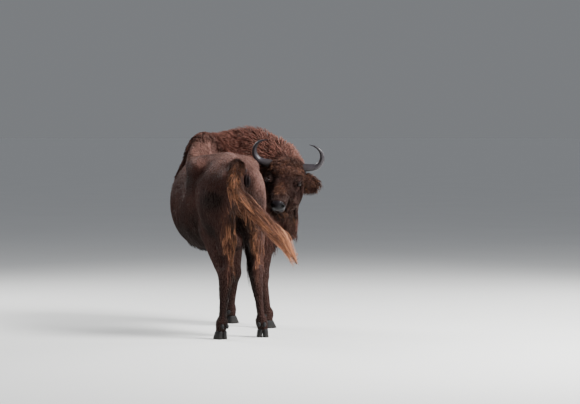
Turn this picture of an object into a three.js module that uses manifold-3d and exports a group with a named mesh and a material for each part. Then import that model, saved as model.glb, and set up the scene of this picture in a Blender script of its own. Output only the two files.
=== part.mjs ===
// A wisent cow, life size, standing with its rump to the rear and its body bent to the right,
// so that the head looks back past the right flank.
// Millimetres, with +Z up, +X forward and +Y to the animal's left.
// The flesh is a smooth union of named masses. It is meshed part by part and parted with thin cuts.
// The outer surface is the outline of the coat, out to the tips of the hair.
import * as THREE from "three";
import { mergeVertices } from "three/addons/utils/BufferGeometryUtils.js";
import { ConvexGeometry } from "three/addons/geometries/ConvexGeometry.js";
import Module from "manifold-3d";

const wasm = await Module();
wasm.setup();

// ---------- Driving dimensions ----------
const HUMP_HEIGHT = 1655;
const CROUP_HEIGHT = 1478;
const BARREL_HALF_WIDTH = 314;
const BELLY_HEIGHT = 660;
const CHEST_HEIGHT = 1085; // of the middle of the chest
const HEAD_LENGTH = 496;
const EYE_RADIUS = 21;
const HORN_ROOT_RADIUS = 36;
const HORN_SPREAD = 283; // from the middle of the poll to the outermost point of a horn
const HORN_RISE = 184; // from a horn's root to its tip
const HOOF_HEIGHT = 68;
const HOOF_LENGTH = 108;
const HOOF_WIDTH = 46;
const CUT = 1; // width of the thin cuts between nodes
const BLEND = 62; // how softly neighbouring masses run into each other
const LEFT = 1;
const RIGHT = -1;

const v = (x, y, z) => new THREE.Vector3(x, y, z);
const UP = v(0, 0, 1);

// ---------- The line of the back, from the tail head to the poll ----------
// The rump heads a little to the left, and the chest and neck turn sharply to the right.
const CREST = new THREE.CatmullRomCurve3(
  [
    v(0, 0, 1415), // tail head
    v(400, 120, CROUP_HEIGHT), // sacrum
    v(640, 190, 1476), // loin
    v(880, 268, 1532), // middle of the back
    v(1080, 282, 1604), // withers
    v(1222, 140, 1628), // top of the shoulder blades
    v(1290, -60, HUMP_HEIGHT), // hump
    v(1262, -232, 1628), // foot of the neck
    v(1128, -362, 1528), // nape
    v(900, -400, 1410), // poll
  ],
  false,
  "centripetal",
);
const CREST_LENGTH = CREST.getLength();

// Frame of the trunk at a distance s along the back: a point on the back,
// and the level directions ahead and left.
function station(s) {
  const share = THREE.MathUtils.clamp(s / CREST_LENGTH, 0, 1);
  const tangent = CREST.getTangentAt(share);
  const ahead = v(tangent.x, tangent.y, 0).normalize();
  const point = CREST.getPointAt(share).addScaledVector(ahead, s - share * CREST_LENGTH);
  return { point, ahead, left: UP.clone().cross(ahead) };
}

// A point s along the back, side to the left of it, and z above the floor.
function at(s, side, z) {
  const { point, left } = station(s);
  return v(point.x, point.y, 0).addScaledVector(left, side).setZ(z);
}

// ---------- Masses: each is a function that gives the distance from a point to its surface ----------

// An ellipsoid with half axes along the three directions of a basis.
function ellipsoid(centre, [rx, ry, rz], [ex, ey, ez]) {
  return (p) => {
    const dx = p.x - centre.x;
    const dy = p.y - centre.y;
    const dz = p.z - centre.z;
    const a = (dx * ex.x + dy * ex.y + dz * ex.z) / rx;
    const b = (dx * ey.x + dy * ey.y + dz * ey.z) / ry;
    const c = (dx * ez.x + dy * ez.y + dz * ez.z) / rz;
    const near = Math.hypot(a, b, c);
    const steep = Math.hypot(a / rx, b / ry, c / rz);
    return steep < 1e-9 ? -Math.min(rx, ry, rz) : (near * (near - 1)) / steep;
  };
}

// A tapered limb between two points. Its breadth along the direction across is flat times its depth.
function limb(from, r0, to, r1, flat = 1, across = v(0, 1, 0)) {
  const axis = to.clone().sub(from);
  const long = axis.lengthSq();
  const side = across.clone().addScaledVector(axis, -across.dot(axis) / long).normalize();
  const stretch = 1 / flat - 1;
  return (p) => {
    let dx = p.x - from.x;
    let dy = p.y - from.y;
    let dz = p.z - from.z;
    const t = THREE.MathUtils.clamp((dx * axis.x + dy * axis.y + dz * axis.z) / long, 0, 1);
    dx -= t * axis.x;
    dy -= t * axis.y;
    dz -= t * axis.z;
    const off = (dx * side.x + dy * side.y + dz * side.z) * stretch;
    const reach = Math.hypot(dx + off * side.x, dy + off * side.y, dz + off * side.z);
    return reach - (r0 + (r1 - r0) * t);
  };
}

// A run of limbs through several [point, radius] pairs.
function chain(pairs, flat, across) {
  return pairs.slice(1).map(([to, r1], i) => limb(pairs[i][0], pairs[i][1], to, r1, flat, across));
}

// A mass of the trunk, turned as the trunk is at s: half length, half width and half height.
function bodyMass(s, side, z, radii) {
  const { ahead, left } = station(s);
  return ellipsoid(at(s, side, z), radii, [ahead, left, UP]);
}

function smoothMin(a, b, k) {
  const h = Math.max(k - Math.abs(a - b), 0) / k;
  return Math.min(a, b) - (h * h * k) / 4;
}

const joined = (masses, k = BLEND) => (p) => masses.reduce((d, mass) => smoothMin(d, mass(p), k), 1e6);

// ---------- Trunk ----------
function trunkMasses() {
  const sides = [LEFT, RIGHT];
  return [
    bodyMass(270, 0, 1200, [345, 238, 232]), // pelvis
    bodyMass(330, 0, 1345, [330, 165, 118]), // croup
    bodyMass(50, 0, 1338, [120, 78, 66]), // tail head
    bodyMass(425, 238, 1350, [112, 76, 68]), // left hook bone, the higher one
    bodyMass(425, -210, 1333, [112, 74, 66]), // right hook bone
    ...sides.map((k) => bodyMass(-24, k * 100, 1258, [86, 60, 74])), // pin bones
    bodyMass(640, 0, 1318, [290, 205, 138]), // loin
    bodyMass(510, 126, 1130, [240, 162, 245]), // left flank, the fuller one
    bodyMass(510, -112, 1120, [230, 150, 235]), // right flank
    bodyMass(700, 6, 1015, [355, BARREL_HALF_WIDTH - 18, 1015 - BELLY_HEIGHT]), // paunch
    bodyMass(930, 0, 1045, [320, BARREL_HALF_WIDTH, 1045 - BELLY_HEIGHT]), // barrel
    bodyMass(165, 0, 762, [115, 78, 88]), // udder
    bodyMass(1150, -12, CHEST_HEIGHT, [270, BARREL_HALF_WIDTH - 18, 415]), // ribs
    bodyMass(1345, -40, CHEST_HEIGHT, [250, 275, 428]), // chest
    bodyMass(1520, -40, 1060, [210, 232, 372]), // front of the chest
    bodyMass(1080, 8, 1418, [240, 122, 178]), // withers
    bodyMass(1150, -4, 1405, [320, 128, 192]), // rise of the back
    ...sides.map((k) => bodyMass(425, k * 140, 1348, [120, 132, 92])), // haunches
    bodyMass(445, 182, 1240, [140, 108, 130]), // below the left hook bone
    bodyMass(445, -160, 1225, [140, 98, 130]), // below the right hook bone
    bodyMass(1450, 0, 1400, [320, 140, 240]), // hump
    bodyMass(1600, -8, 1400, [210, 140, 218]), // front of the hump
  ];
}

// ---------- Neck, with the mane under the throat ----------
const NECK_LINE = [
  [v(1225, -105, 1288), 345],
  [v(1172, -242, 1276), 286],
  [v(1085, -322, 1250), 232],
  [v(965, -362, 1215), 176],
];
function neckMasses() {
  return NECK_LINE.slice(1).map(([to, r1], i) => {
    const [from, r0] = NECK_LINE[i];
    return limb(from, r0, to, r1, 0.54, UP.clone().cross(to.clone().sub(from)));
  });
}

// Long hair that hangs under the throat, and under the front of the chest.
const throatMane = () => [
  limb(v(1010, -385, 1130), 118, v(985, -398, 950), 104, 0.74),
  limb(v(985, -398, 950), 104, v(982, -424, 768), 58, 0.74),
  limb(v(1080, -330, 1060), 130, v(1090, -320, 800), 60, 0.74),
];
const chestMane = () => [limb(v(1225, -220, 960), 138, v(1195, -262, 700), 52, 0.8)];

// ---------- Legs: joints in the pose, from the top down ----------
const LEGS = {
  hind_left: {
    joints: [v(128, 172, 1075), v(322, 210, 835), v(20, 96, 500), v(2, 126, 128)],
    toe: v(34, 148, 0),
    heading: 32,
  },
  hind_right: {
    joints: [v(208, -92, 1075), v(430, -112, 835), v(196, -134, 512), v(184, -180, 128)],
    toe: v(216, -188, 0),
    heading: 4,
  },
  fore_left: {
    joints: [v(1325, 66, 1080), v(1362, 62, 800), v(1402, 60, 432), v(1440, 98, 122)],
    toe: v(1462, 80, 0),
    heading: -44,
  },
  fore_right: {
    joints: [v(1080, -164, 1080), v(1052, -208, 800), v(1012, -178, 432), v(996, -222, 122)],
    toe: v(1010, -240, 0),
    heading: -52,
  },
};

const level = (degrees) => v(Math.cos((degrees * Math.PI) / 180), Math.sin((degrees * Math.PI) / 180), 0);

function hindLegMasses({ joints: [hip, stifle, hock, fetlock], toe, heading }) {
  const ahead = level(heading);
  const left = UP.clone().cross(ahead);
  const seat = hip.clone().addScaledVector(ahead, -88).setZ(1040);
  const heel = hock.clone().addScaledVector(ahead, -42).setZ(hock.z + 22);
  const breech = hock.clone().addScaledVector(ahead, 10).setZ(690);
  const top = toe.clone().addScaledVector(ahead, -22).setZ(HOOF_HEIGHT);
  return [
    ellipsoid(hip, [215, 128, 265], [ahead, left, UP]), // thigh
    limb(seat, 128, breech, 88, 0.86, left), // buttock and the long hair down its back
    limb(hip, 150, stifle, 122, 0.78, left),
    limb(stifle, 126, hock, 74, 0.86, left), // gaskin
    limb(hock.clone().setZ(hock.z + 190), 78, heel, 50, 0.86, left), // heel tendon
    limb(heel, 50, hock.clone().setZ(hock.z - 90), 40, 0.86, left),
    limb(hock, 66, hock.clone().lerp(fetlock, 0.42), 40, 0.86, left),
    limb(hock, 50, fetlock, 34, 0.88, left), // cannon
    ellipsoid(fetlock, [44, 41, 42], [ahead, left, UP]),
    limb(fetlock, 36, top, 42, 1.05, left), // pastern
  ];
}

function foreLegMasses({ joints: [shoulder, elbow, knee, fetlock], toe, heading }) {
  const ahead = level(heading);
  const left = UP.clone().cross(ahead);
  const top = toe.clone().addScaledVector(ahead, -22).setZ(HOOF_HEIGHT);
  return [
    ellipsoid(shoulder, [165, 92, 250], [ahead, left, UP]), // shoulder
    limb(shoulder, 140, elbow, 92, 0.7, left),
    limb(elbow, 96, knee, 50, 0.78, left), // forearm
    ellipsoid(knee, [52, 46, 58], [ahead, left, UP]),
    limb(knee, 46, fetlock, 33, 0.86, left), // cannon
    ellipsoid(fetlock, [44, 40, 42], [ahead, left, UP]),
    limb(fetlock, 36, top, 42, 1.05, left), // pastern
  ];
}

// ---------- Tail, swung to the right ----------
const TAIL_LINE = [
  [v(30, 8, 1376), 62],
  [v(-66, 6, 1350), 58],
  [v(-132, 24, 1275), 58],
  [v(-152, 22, 1200), 64],
  [v(-160, -46, 1110), 68],
  [v(-162, -146, 1000), 68],
  [v(-156, -245, 904), 64],
  [v(-148, -335, 812), 58],
  [v(-140, -412, 700), 46],
  [v(-132, -458, 598), 26],
];
// Loose locks that hang straight down from the tail.
const TAIL_LOCKS = [
  [v(-150, 48, 1180), 50, v(-138, 74, 885), 14],
  [v(-156, -60, 1080), 48, v(-142, -80, 842), 14],
];

// ---------- Head ----------
// Local directions: +X from the poll to the nose, +Y to the animal's left, +Z out of the forehead.
const HEAD_POSE = { poll: v(905, -388, 1398), heading: -196, pitch: 47, roll: 10 };
const HEAD = new THREE.Matrix4().makeTranslation(HEAD_POSE.poll).multiply(
  new THREE.Matrix4().makeRotationFromEuler(
    new THREE.Euler(
      THREE.MathUtils.degToRad(-HEAD_POSE.roll),
      THREE.MathUtils.degToRad(HEAD_POSE.pitch),
      THREE.MathUtils.degToRad(HEAD_POSE.heading),
      "ZYX",
    ),
  ),
);
const HEAD_AXES = [v(), v(), v()];
HEAD.extractBasis(...HEAD_AXES);
const inHead = (x, y, z) => v(x, y, z).applyMatrix4(HEAD);
const headMass = (x, y, z, radii) => ellipsoid(inHead(x, y, z), radii, HEAD_AXES);
const headLimb = (a, r0, b, r1, flat) => limb(inHead(...a), r0, inHead(...b), r1, flat, HEAD_AXES[1]);
const EYE = { x: 192, y: 133, z: -66 };
const MUZZLE_X = HEAD_LENGTH - 48;

function headMasses() {
  const sides = [LEFT, RIGHT];
  return [
    headMass(78, 0, -92, [150, 132, 118]), // braincase
    headMass(32, 0, -12, [118, 138, 62]), // crown of woolly hair
    headLimb([95, 0, -75], 104, [350, 0, -70], 66, 1.08), // forehead and nose bridge
    ...sides.map((k) => headMass(EYE.x - 18, k * (EYE.y - 18), EYE.z + 16, [58, 34, 38])), // brows
    ...sides.map((k) => headMass(205, k * 76, -148, [128, 54, 80])), // cheeks
    headLimb([215, 0, -196], 58, [416, 0, -128], 42, 1.25), // lower jaw
    headMass(394, 0, -78, [82, 66, 62]), // muzzle
    headMass(MUZZLE_X - 12, 0, -74, [46, 64, 52]), // lips and nostrils
    headMass(180, 0, -232, [105, 62, 62]), // hair of the throat
    headLimb([245, 0, -225], 46, [300, 0, -300], 20, 1), // beard
  ];
}

// ---------- Meshing a field: one vertex in each grid cell that the surface crosses ----------
function slope(field, p, step) {
  const g = v();
  for (const axis of ["x", "y", "z"]) {
    const ahead = p.clone();
    const behind = p.clone();
    ahead[axis] += step;
    behind[axis] -= step;
    g[axis] = (field(ahead) - field(behind)) / (2 * step);
  }
  return g;
}

// Moves a point along the slope of the field until it lies on the surface.
function ontoSurface(field, p, cell) {
  for (let i = 0; i < 4; i += 1) {
    const g = slope(field, p, cell * 0.05);
    const move = -field(p) / Math.max(g.lengthSq(), 0.2);
    p.addScaledVector(g, THREE.MathUtils.clamp(move, -cell * 0.3, cell * 0.3));
  }
}

// A closed surface of the field inside a box, with cells of the given size.
function meshField(field, box, cell) {
  const size = box.getSize(v());
  const count = ["x", "y", "z"].map((axis) => Math.ceil(size[axis] / cell[axis]) + 1);
  const [nx, ny, nz] = count;
  const place = (i, j, k) => v(box.min.x + i * cell.x, box.min.y + j * cell.y, box.min.z + k * cell.z);
  const index = (i, j, k) => (k * ny + j) * nx + i;
  const values = new Float64Array(nx * ny * nz);
  for (let k = 0; k < nz; k += 1)
    for (let j = 0; j < ny; j += 1)
      for (let i = 0; i < nx; i += 1) {
        const edge = i === 0 || j === 0 || k === 0 || i === nx - 1 || j === ny - 1 || k === nz - 1;
        const d = field(place(i, j, k));
        values[index(i, j, k)] = edge ? Math.max(d, 1) : d;
      }
  const small = Math.min(cell.x, cell.y, cell.z);
  const inner = box.clone().expandByScalar(-small);
  const vertices = [];
  const vertexOf = new Map();
  for (let k = 0; k < nz - 1; k += 1)
    for (let j = 0; j < ny - 1; j += 1)
      for (let i = 0; i < nx - 1; i += 1) {
        const sum = v();
        let crossings = 0;
        const corner = (n) => [i + (n & 1), j + ((n >> 1) & 1), k + (n >> 2)];
        for (let a = 0; a < 8; a += 1)
          for (const bit of [1, 2, 4]) {
            const b = a | bit;
            if (b === a) continue;
            const da = values[index(...corner(a))];
            const db = values[index(...corner(b))];
            if (da < 0 === db < 0) continue;
            sum.add(place(...corner(a)).lerp(place(...corner(b)), da / (da - db)));
            crossings += 1;
          }
        if (!crossings) continue;
        const p = sum.divideScalar(crossings);
        if (inner.containsPoint(p)) ontoSurface(field, p, small);
        vertexOf.set(index(i, j, k), vertices.length);
        vertices.push(p);
      }
  const triangles = [];
  const strides = [1, nx, nx * ny];
  for (let k = 0; k < nz - 1; k += 1)
    for (let j = 0; j < ny - 1; j += 1)
      for (let i = 0; i < nx - 1; i += 1)
        for (let axis = 0; axis < 3; axis += 1) {
          const grid = [i, j, k];
          if (!grid[(axis + 1) % 3] || !grid[(axis + 2) % 3]) continue;
          const u = strides[(axis + 1) % 3];
          const w = strides[(axis + 2) % 3];
          const here = index(i, j, k);
          const inside = values[here] < 0;
          if (inside === values[here + strides[axis]] < 0) continue;
          const ring = [here - u - w, here - w, here, here - u].map((n) => vertexOf.get(n));
          if (!inside) ring.reverse();
          const [a, b, c, d] = ring;
          const across = (m, n) => vertices[m].distanceToSquared(vertices[n]);
          triangles.push(...(across(a, c) < across(b, d) ? [a, b, c, a, c, d] : [a, b, d, b, c, d]));
        }
  return geometryOf(vertices.flatMap((p) => p.toArray()), triangles);
}

function geometryOf(positions, triangles) {
  const geometry = new THREE.BufferGeometry();
  geometry.setAttribute("position", new THREE.Float32BufferAttribute(positions, 3));
  geometry.setIndex(triangles);
  return geometry;
}

// The same surface, each corner moved outwards.
function swollen(geometry, by) {
  const grown = geometry.clone();
  grown.computeVertexNormals();
  const position = grown.getAttribute("position");
  const normal = grown.getAttribute("normal");
  for (let i = 0; i < position.count; i += 1) {
    const out = v().fromBufferAttribute(normal, i);
    const p = v().fromBufferAttribute(position, i).addScaledVector(out, by);
    position.setXYZ(i, p.x, p.y, p.z);
  }
  return grown;
}

// Closes up edges shorter than the given length.
// Sharp edges stay where they are, so a cut keeps its plane.
function withoutShortEdges(geometry, shortest) {
  const merged = mergeVertices(geometry, 1e-3);
  const points = [];
  for (let i = 0; i < merged.attributes.position.count; i += 1)
    points.push(v().fromBufferAttribute(merged.attributes.position, i));
  const faces = [];
  const corners = merged.index.array;
  for (let t = 0; t < corners.length; t += 3) faces.push(Array.from(corners.slice(t, t + 3)));
  const around = points.map(() => new Set());
  faces.forEach((face, f) => face.forEach((n) => around[n].add(f)));
  const edge = (a, b) => points[b].clone().sub(points[a]);
  const normalOf = ([a, b, c]) => edge(a, b).cross(edge(a, c)).normalize();
  const shared = (a, b) => [...around[a]].filter((f) => around[b].has(f));
  const sharp = (a, b) => {
    const [f, g] = shared(a, b);
    return normalOf(faces[f]).dot(normalOf(faces[g])) < 0.8;
  };
  const neighbours = (a) => new Set([...around[a]].flatMap((f) => faces[f]).filter((n) => n !== a));
  const sharpCount = (a) => [...neighbours(a)].filter((b) => sharp(a, b)).length;
  const mayClose = (gone, kept) => {
    const both = shared(gone, kept);
    const common = [...neighbours(gone)].filter((n) => neighbours(kept).has(n));
    if (common.length !== both.length) return false;
    if (both.length > 2) return true; // an edge where two folds of the surface touch
    const creases = sharpCount(gone);
    if (creases !== 0 && !(creases === 2 && sharp(gone, kept))) return false;
    return [...around[gone]].every((f) => {
      if (both.includes(f)) return true;
      const before = normalOf(faces[f]);
      const after = normalOf(faces[f].map((n) => (n === gone ? kept : n)));
      return before.lengthSq() < 0.5 || after.dot(before) > 0.6;
    });
  };
  for (let again = true, pass = 0; again && pass < 8; pass += 1) {
    again = false;
    for (let a = 0; a < points.length; a += 1) {
      const away = (b) => points[a].distanceTo(points[b]);
      const near = [...neighbours(a)].sort((m, n) => away(m) - away(n));
      const close = (b) => away(b) < shortest || shared(a, b).length > 2;
      const kept = near.find((b) => close(b) && mayClose(a, b));
      if (kept === undefined) continue;
      for (const f of shared(a, kept)) for (const n of faces[f]) around[n].delete(f);
      for (const f of around[a]) {
        faces[f] = faces[f].map((n) => (n === a ? kept : n));
        around[kept].add(f);
      }
      around[a].clear();
      again = true;
    }
  }
  const alive = faces.filter((face, f) => around[face[0]].has(f)).flat();
  return mergeVertices(geometryOf(alive.flatMap((n) => points[n].toArray()), [...alive.keys()]), 1e-3);
}

// ---------- Solids ----------
function solidOf(geometry) {
  const bare = new THREE.BufferGeometry();
  bare.setAttribute("position", geometry.getAttribute("position"));
  bare.setIndex(geometry.index);
  const merged = mergeVertices(bare, 1e-3);
  return new wasm.Manifold(
    new wasm.Mesh({
      numProp: 3,
      vertProperties: merged.attributes.position.array,
      triVerts: new Uint32Array(merged.index.array),
    }),
  );
}

// The largest single body of a solid, as a geometry: crumbs that a cut leaves are dropped.
function largest(solid, shortest) {
  const bodies = solid.decompose().sort((a, b) => b.volume() - a.volume());
  const mesh = bodies[0].getMesh();
  const geometry = geometryOf(Array.from(mesh.vertProperties), Array.from(mesh.triVerts));
  return withoutShortEdges(geometry, shortest);
}

// The half space on the far side of a plane, as a very large block. A gap moves it away from the plane.
const FAR = 3000;
function beyond(point, normal, gap = 0) {
  const ez = normal.clone().normalize();
  const ex = (Math.abs(ez.z) < 0.9 ? UP : v(1, 0, 0)).clone().cross(ez).normalize();
  const ey = ez.clone().cross(ex);
  const block = new THREE.BoxGeometry(FAR, FAR, FAR);
  const middle = point.clone().addScaledVector(ez, FAR / 2 + gap);
  return solidOf(block.applyMatrix4(new THREE.Matrix4().makeBasis(ex, ey, ez).setPosition(middle)));
}

// ---------- Fields of the flesh ----------
const legFields = Object.fromEntries(
  Object.entries(LEGS).map(([name, leg]) => [
    name,
    joined(name.startsWith("hind") ? hindLegMasses(leg) : foreLegMasses(leg), 34),
  ]),
);
const trunkField = joined([...trunkMasses(), ...chestMane()], BLEND);
const neckField = joined(neckMasses(), BLEND);
const maneField = joined(throatMane(), 40);
const headField = joined(headMasses(), 26);
const tailLocks = TAIL_LOCKS.map((lock) => limb(...lock, 0.8));
const tailField = joined([...chain(TAIL_LINE, 0.8), ...tailLocks], 24);

function body(p) {
  let d = smoothMin(trunkField(p), neckField(p), 80);
  for (const field of Object.values(legFields)) d = smoothMin(d, field(p), 58);
  return d;
}
const neckFlesh = (p) => smoothMin(smoothMin(body(p), maneField(p), 50), headField(p), 48);
const headFlesh = (p) => smoothMin(smoothMin(neckField(p), maneField(p), 50), headField(p), 48);

// ---------- Where the body is parted ----------
const half = CUT / 2;
const group = new THREE.Group();
const surface = (color, roughness) => new THREE.MeshStandardMaterial({ color, roughness, metalness: 0 });
const finish = {
  coat: surface(0x4a2f22, 0.9),
  legs: surface(0x2b1c17, 0.9),
  tail: surface(0x7a4a2a, 0.85),
  horn: surface(0x35333a, 0.4),
  hoof: surface(0x1d1a1a, 0.55),
  eye: surface(0x0d0907, 0.08),
};

function addNode(name, geometry, material) {
  const mesh = new THREE.Mesh(geometry, material);
  mesh.name = name;
  group.add(mesh);
}

const boxOf = (min, max) => new THREE.Box3(v(...min), v(...max));
const cube = (size) => v(size, size, size);
const headDirection = (x, y, z) => v(x, y, z).transformDirection(HEAD);

// The region of the neck: in front of and to the right of the chest, and clear of the right fore leg.
function neckBlock(gap) {
  const foot = beyond(v(1205, -190, 1300), v(-0.25, -1, 0.08), gap);
  const outside = foot.intersect(beyond(v(760, -230, 0), v(0.6, -0.8, 0), gap));
  const above = outside.intersect(beyond(v(0, 0, 945), UP, gap));
  return above.add(outside.intersect(beyond(v(0, -335, 0), v(0, -1, 0), gap)));
}

// The region of the head: on the nose's side of the poll, and above the throat.
function headBlock(gap) {
  return beyond(inHead(38, 0, -110), headDirection(1, 0, 0.18), gap).intersect(
    beyond(inHead(120, 0, -205), headDirection(0.6, 0, 1), gap),
  );
}

// The region of a leg: below a plane that rises outwards from the groin,
// on its own side, and near its own joint.
function legBlock(name, gap) {
  const side = name.endsWith("left") ? LEFT : RIGHT;
  const hind = name.startsWith("hind");
  const ahead = hind ? station(200).ahead : level(-48);
  const out = UP.clone().cross(ahead).multiplyScalar(side);
  const groin = hind ? at(150, 0, 690) : v(1208, -80, 740);
  const joint = LEGS[name].joints[1];
  const reach = hind ? [135, 900, 260] : [180, 180, 135];
  return beyond(groin, out.clone().multiplyScalar(hind ? 1.5 : 0.8).sub(UP), gap)
    .intersect(beyond(groin, out, gap))
    .intersect(beyond(joint.clone().addScaledVector(ahead, reach[0]), ahead.clone().negate(), gap))
    .intersect(beyond(joint.clone().addScaledVector(ahead, -reach[1]), ahead, gap))
    .intersect(beyond(joint.clone().addScaledVector(out, reach[2]), out.clone().negate(), gap));
}

// ---------- Swept bodies ----------
// A closed tube along a curve.
// The ring function gives the points of a section from its share of the length.
function sweep(curve, ringAt, rings, sides, across) {
  const positions = [];
  const push = (p) => positions.push(p.x, p.y, p.z);
  const section = (share) => {
    const tangent = curve.getTangent(share);
    const ex = across.clone().addScaledVector(tangent, -across.dot(tangent)).normalize();
    const ey = tangent.clone().cross(ex);
    const centre = curve.getPoint(share);
    return (a, b) => centre.clone().addScaledVector(ex, a).addScaledVector(ey, b);
  };
  for (let r = 0; r <= rings; r += 1) {
    const share = r / (rings + 0.4);
    const place = section(share);
    for (let k = 0; k < sides; k += 1) push(place(...ringAt(share, (2 * Math.PI * k) / sides)));
  }
  push(curve.getPoint(0));
  push(curve.getPoint(1)); // the tip
  const root = sides * (rings + 1);
  const triangles = [];
  for (let k = 0; k < sides; k += 1) {
    const next = (k + 1) % sides;
    for (let r = 0; r < rings; r += 1) {
      const a = r * sides;
      const b = a + sides;
      triangles.push(a + k, a + next, b + next, a + k, b + next, b + k);
    }
    triangles.push(root, next, k, root + 1, rings * sides + k, rings * sides + next);
  }
  return geometryOf(positions, triangles);
}

const curveOf = (points) => new THREE.CatmullRomCurve3(points, false, "centripetal");

// ---------- Horns: out of the crown, up, and in again at the tips ----------
const HORN_LINE = [
  [0.30, 0.0, 0.0],
  [0.62, -0.02, 0.03],
  [0.84, -0.08, 0.1],
  [0.975, -0.22, 0.3],
  [1.0, -0.4, 0.55],
  [0.93, -0.55, 0.78],
  [0.78, -0.64, 0.93],
  [0.6, -0.66, 1.0],
];
const HORN_ROOT = { x: 26, z: -50 };
function hornSolid(side) {
  const points = HORN_LINE.map(([out, back, up]) =>
    inHead(HORN_ROOT.x + back * HORN_RISE * 0.8, side * out * HORN_SPREAD, HORN_ROOT.z + up * HORN_RISE),
  );
  const ring = (share, angle) => {
    const r = HORN_ROOT_RADIUS * (1 - 0.93 * share ** 1.6);
    return [r * Math.cos(angle), r * Math.sin(angle)];
  };
  return solidOf(sweep(curveOf(points), ring, 10, 8, HEAD_AXES[0]));
}

// ---------- Ears: cupped leaves with a hanging fringe, held out sideways under the horns ----------
const EAR = { root: [84, 96, -138], tip: [112, 286, -128], width: 72, thickness: 13, cup: 12 };
function earSolid(side) {
  const mirrored = ([x, y, z]) => inHead(x, side * y, z);
  const bend = [(EAR.root[0] + EAR.tip[0]) / 2 - 6, (EAR.root[1] + EAR.tip[1]) / 2, EAR.tip[2] + 2];
  const ring = (share, angle) => {
    const swell = Math.sin(Math.PI * (0.14 + 0.86 * share) ** 0.9) * 0.92 + 0.08;
    const flat = Math.cos(angle);
    const depth = EAR.thickness * swell * Math.sin(angle) - side * EAR.cup * swell * (1 - flat * flat);
    return [EAR.width * swell * flat, depth];
  };
  const rib = curveOf([EAR.root, bend, EAR.tip].map(mirrored));
  return solidOf(sweep(rib, ring, 7, 10, headDirection(0.72, 0, -0.7)));
}

// ---------- Hooves and dewclaws ----------
// Outline of a sole, from the inner heel round to the inner toe: shares of its length and of its width.
const HOOF_OUTLINE = [
  [-0.5, 0.06],
  [-0.56, 0.4],
  [-0.44, 0.86],
  [-0.1, 1],
  [0.24, 0.86],
  [0.44, 0.52],
  [0.5, 0.2],
  [0.44, 0.04],
];
const TOE_GAP = 2; // from the middle of the foot to a claw's inner wall
// One claw of a foot: a flat sole, a straight inner wall, and a front wall that slopes back.
function hoofGeometry({ toe, heading }, side) {
  const ahead = level(heading);
  const left = UP.clone().cross(ahead);
  const points = HOOF_OUTLINE.flatMap(([along, out]) => {
    const place = (scale, shift, z) =>
      toe
        .clone()
        .addScaledVector(ahead, along * HOOF_LENGTH * scale + shift)
        .addScaledVector(left, side * (TOE_GAP + out * HOOF_WIDTH * (0.5 + scale / 2)))
        .setZ(z);
    return [place(1, 0, 0), place(1.02, -1, 7), place(0.74, -20, HOOF_HEIGHT - half)];
  });
  return new ConvexGeometry(points);
}

// A small horny claw behind the fetlock.
function dewclawSolid({ joints, heading }, side, swell = 0) {
  const ahead = level(heading);
  const left = UP.clone().cross(ahead);
  const fetlock = joints[3];
  const centre = fetlock.clone().addScaledVector(ahead, -44).addScaledVector(left, side * 21);
  centre.z -= 24;
  const shape = new THREE.SphereGeometry(1, 6, 4);
  const down = UP.clone().multiplyScalar(-1).addScaledVector(ahead, -0.45).normalize();
  const out = down.clone().cross(left).normalize();
  shape.scale(15 + swell, 13 + swell, 22 + swell);
  const place = new THREE.Matrix4().makeBasis(left, out, left.clone().cross(out));
  shape.applyMatrix4(place.setPosition(centre));
  return solidOf(shape);
}

// ---------- Trunk, neck, head, tail ----------
const legNames = Object.keys(LEGS);
const TRUNK_BOX = boxOf([-260, -620, 520], [1700, 720, 1760]);
const TRUNK_CELL = v(80, 78, 74);
const HEAD_BOX = new THREE.Box3().setFromCenterAndSize(inHead(HEAD_LENGTH / 2, 0, -110), cube(760));
const HEAD_CELL = cube(30);

const TAIL_BOX = boxOf([-290, -560, 540], [140, 160, 1480]);
const NECK_BOX = boxOf([560, -760, 700], [1640, 120, 1760]);
const CRUMB = 0.5; // edges shorter than this are closed up after the last cut

const tailSurface = withoutShortEdges(meshField(tailField, TAIL_BOX, v(38, 38, 50)), 12);
addNode("tail", tailSurface, finish.tail);

let trunk = solidOf(meshField(body, TRUNK_BOX, TRUNK_CELL)).subtract(neckBlock(-half));
for (const name of legNames) trunk = trunk.subtract(legBlock(name, -half));
trunk = solidOf(largest(trunk, 24)).subtract(solidOf(swollen(tailSurface, 1.5)));
addNode("trunk", largest(trunk, CRUMB), finish.coat);

const neck = solidOf(meshField(neckFlesh, NECK_BOX, cube(60)))
  .intersect(neckBlock(half))
  .subtract(headBlock(-half))
  .subtract(legBlock("fore_right", -half));
const neckSurface = largest(neck, 20);
addNode("neck", neckSurface, finish.coat);

// The point where a line from inside the head leaves its surface.
function leave(field, start, direction) {
  const along = (far) => start.clone().addScaledVector(direction, far);
  let far = 0;
  for (let step = 0; step < 60; step += 1) far += Math.max(-field(along(far)), 0.05);
  return along(far);
}

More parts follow.
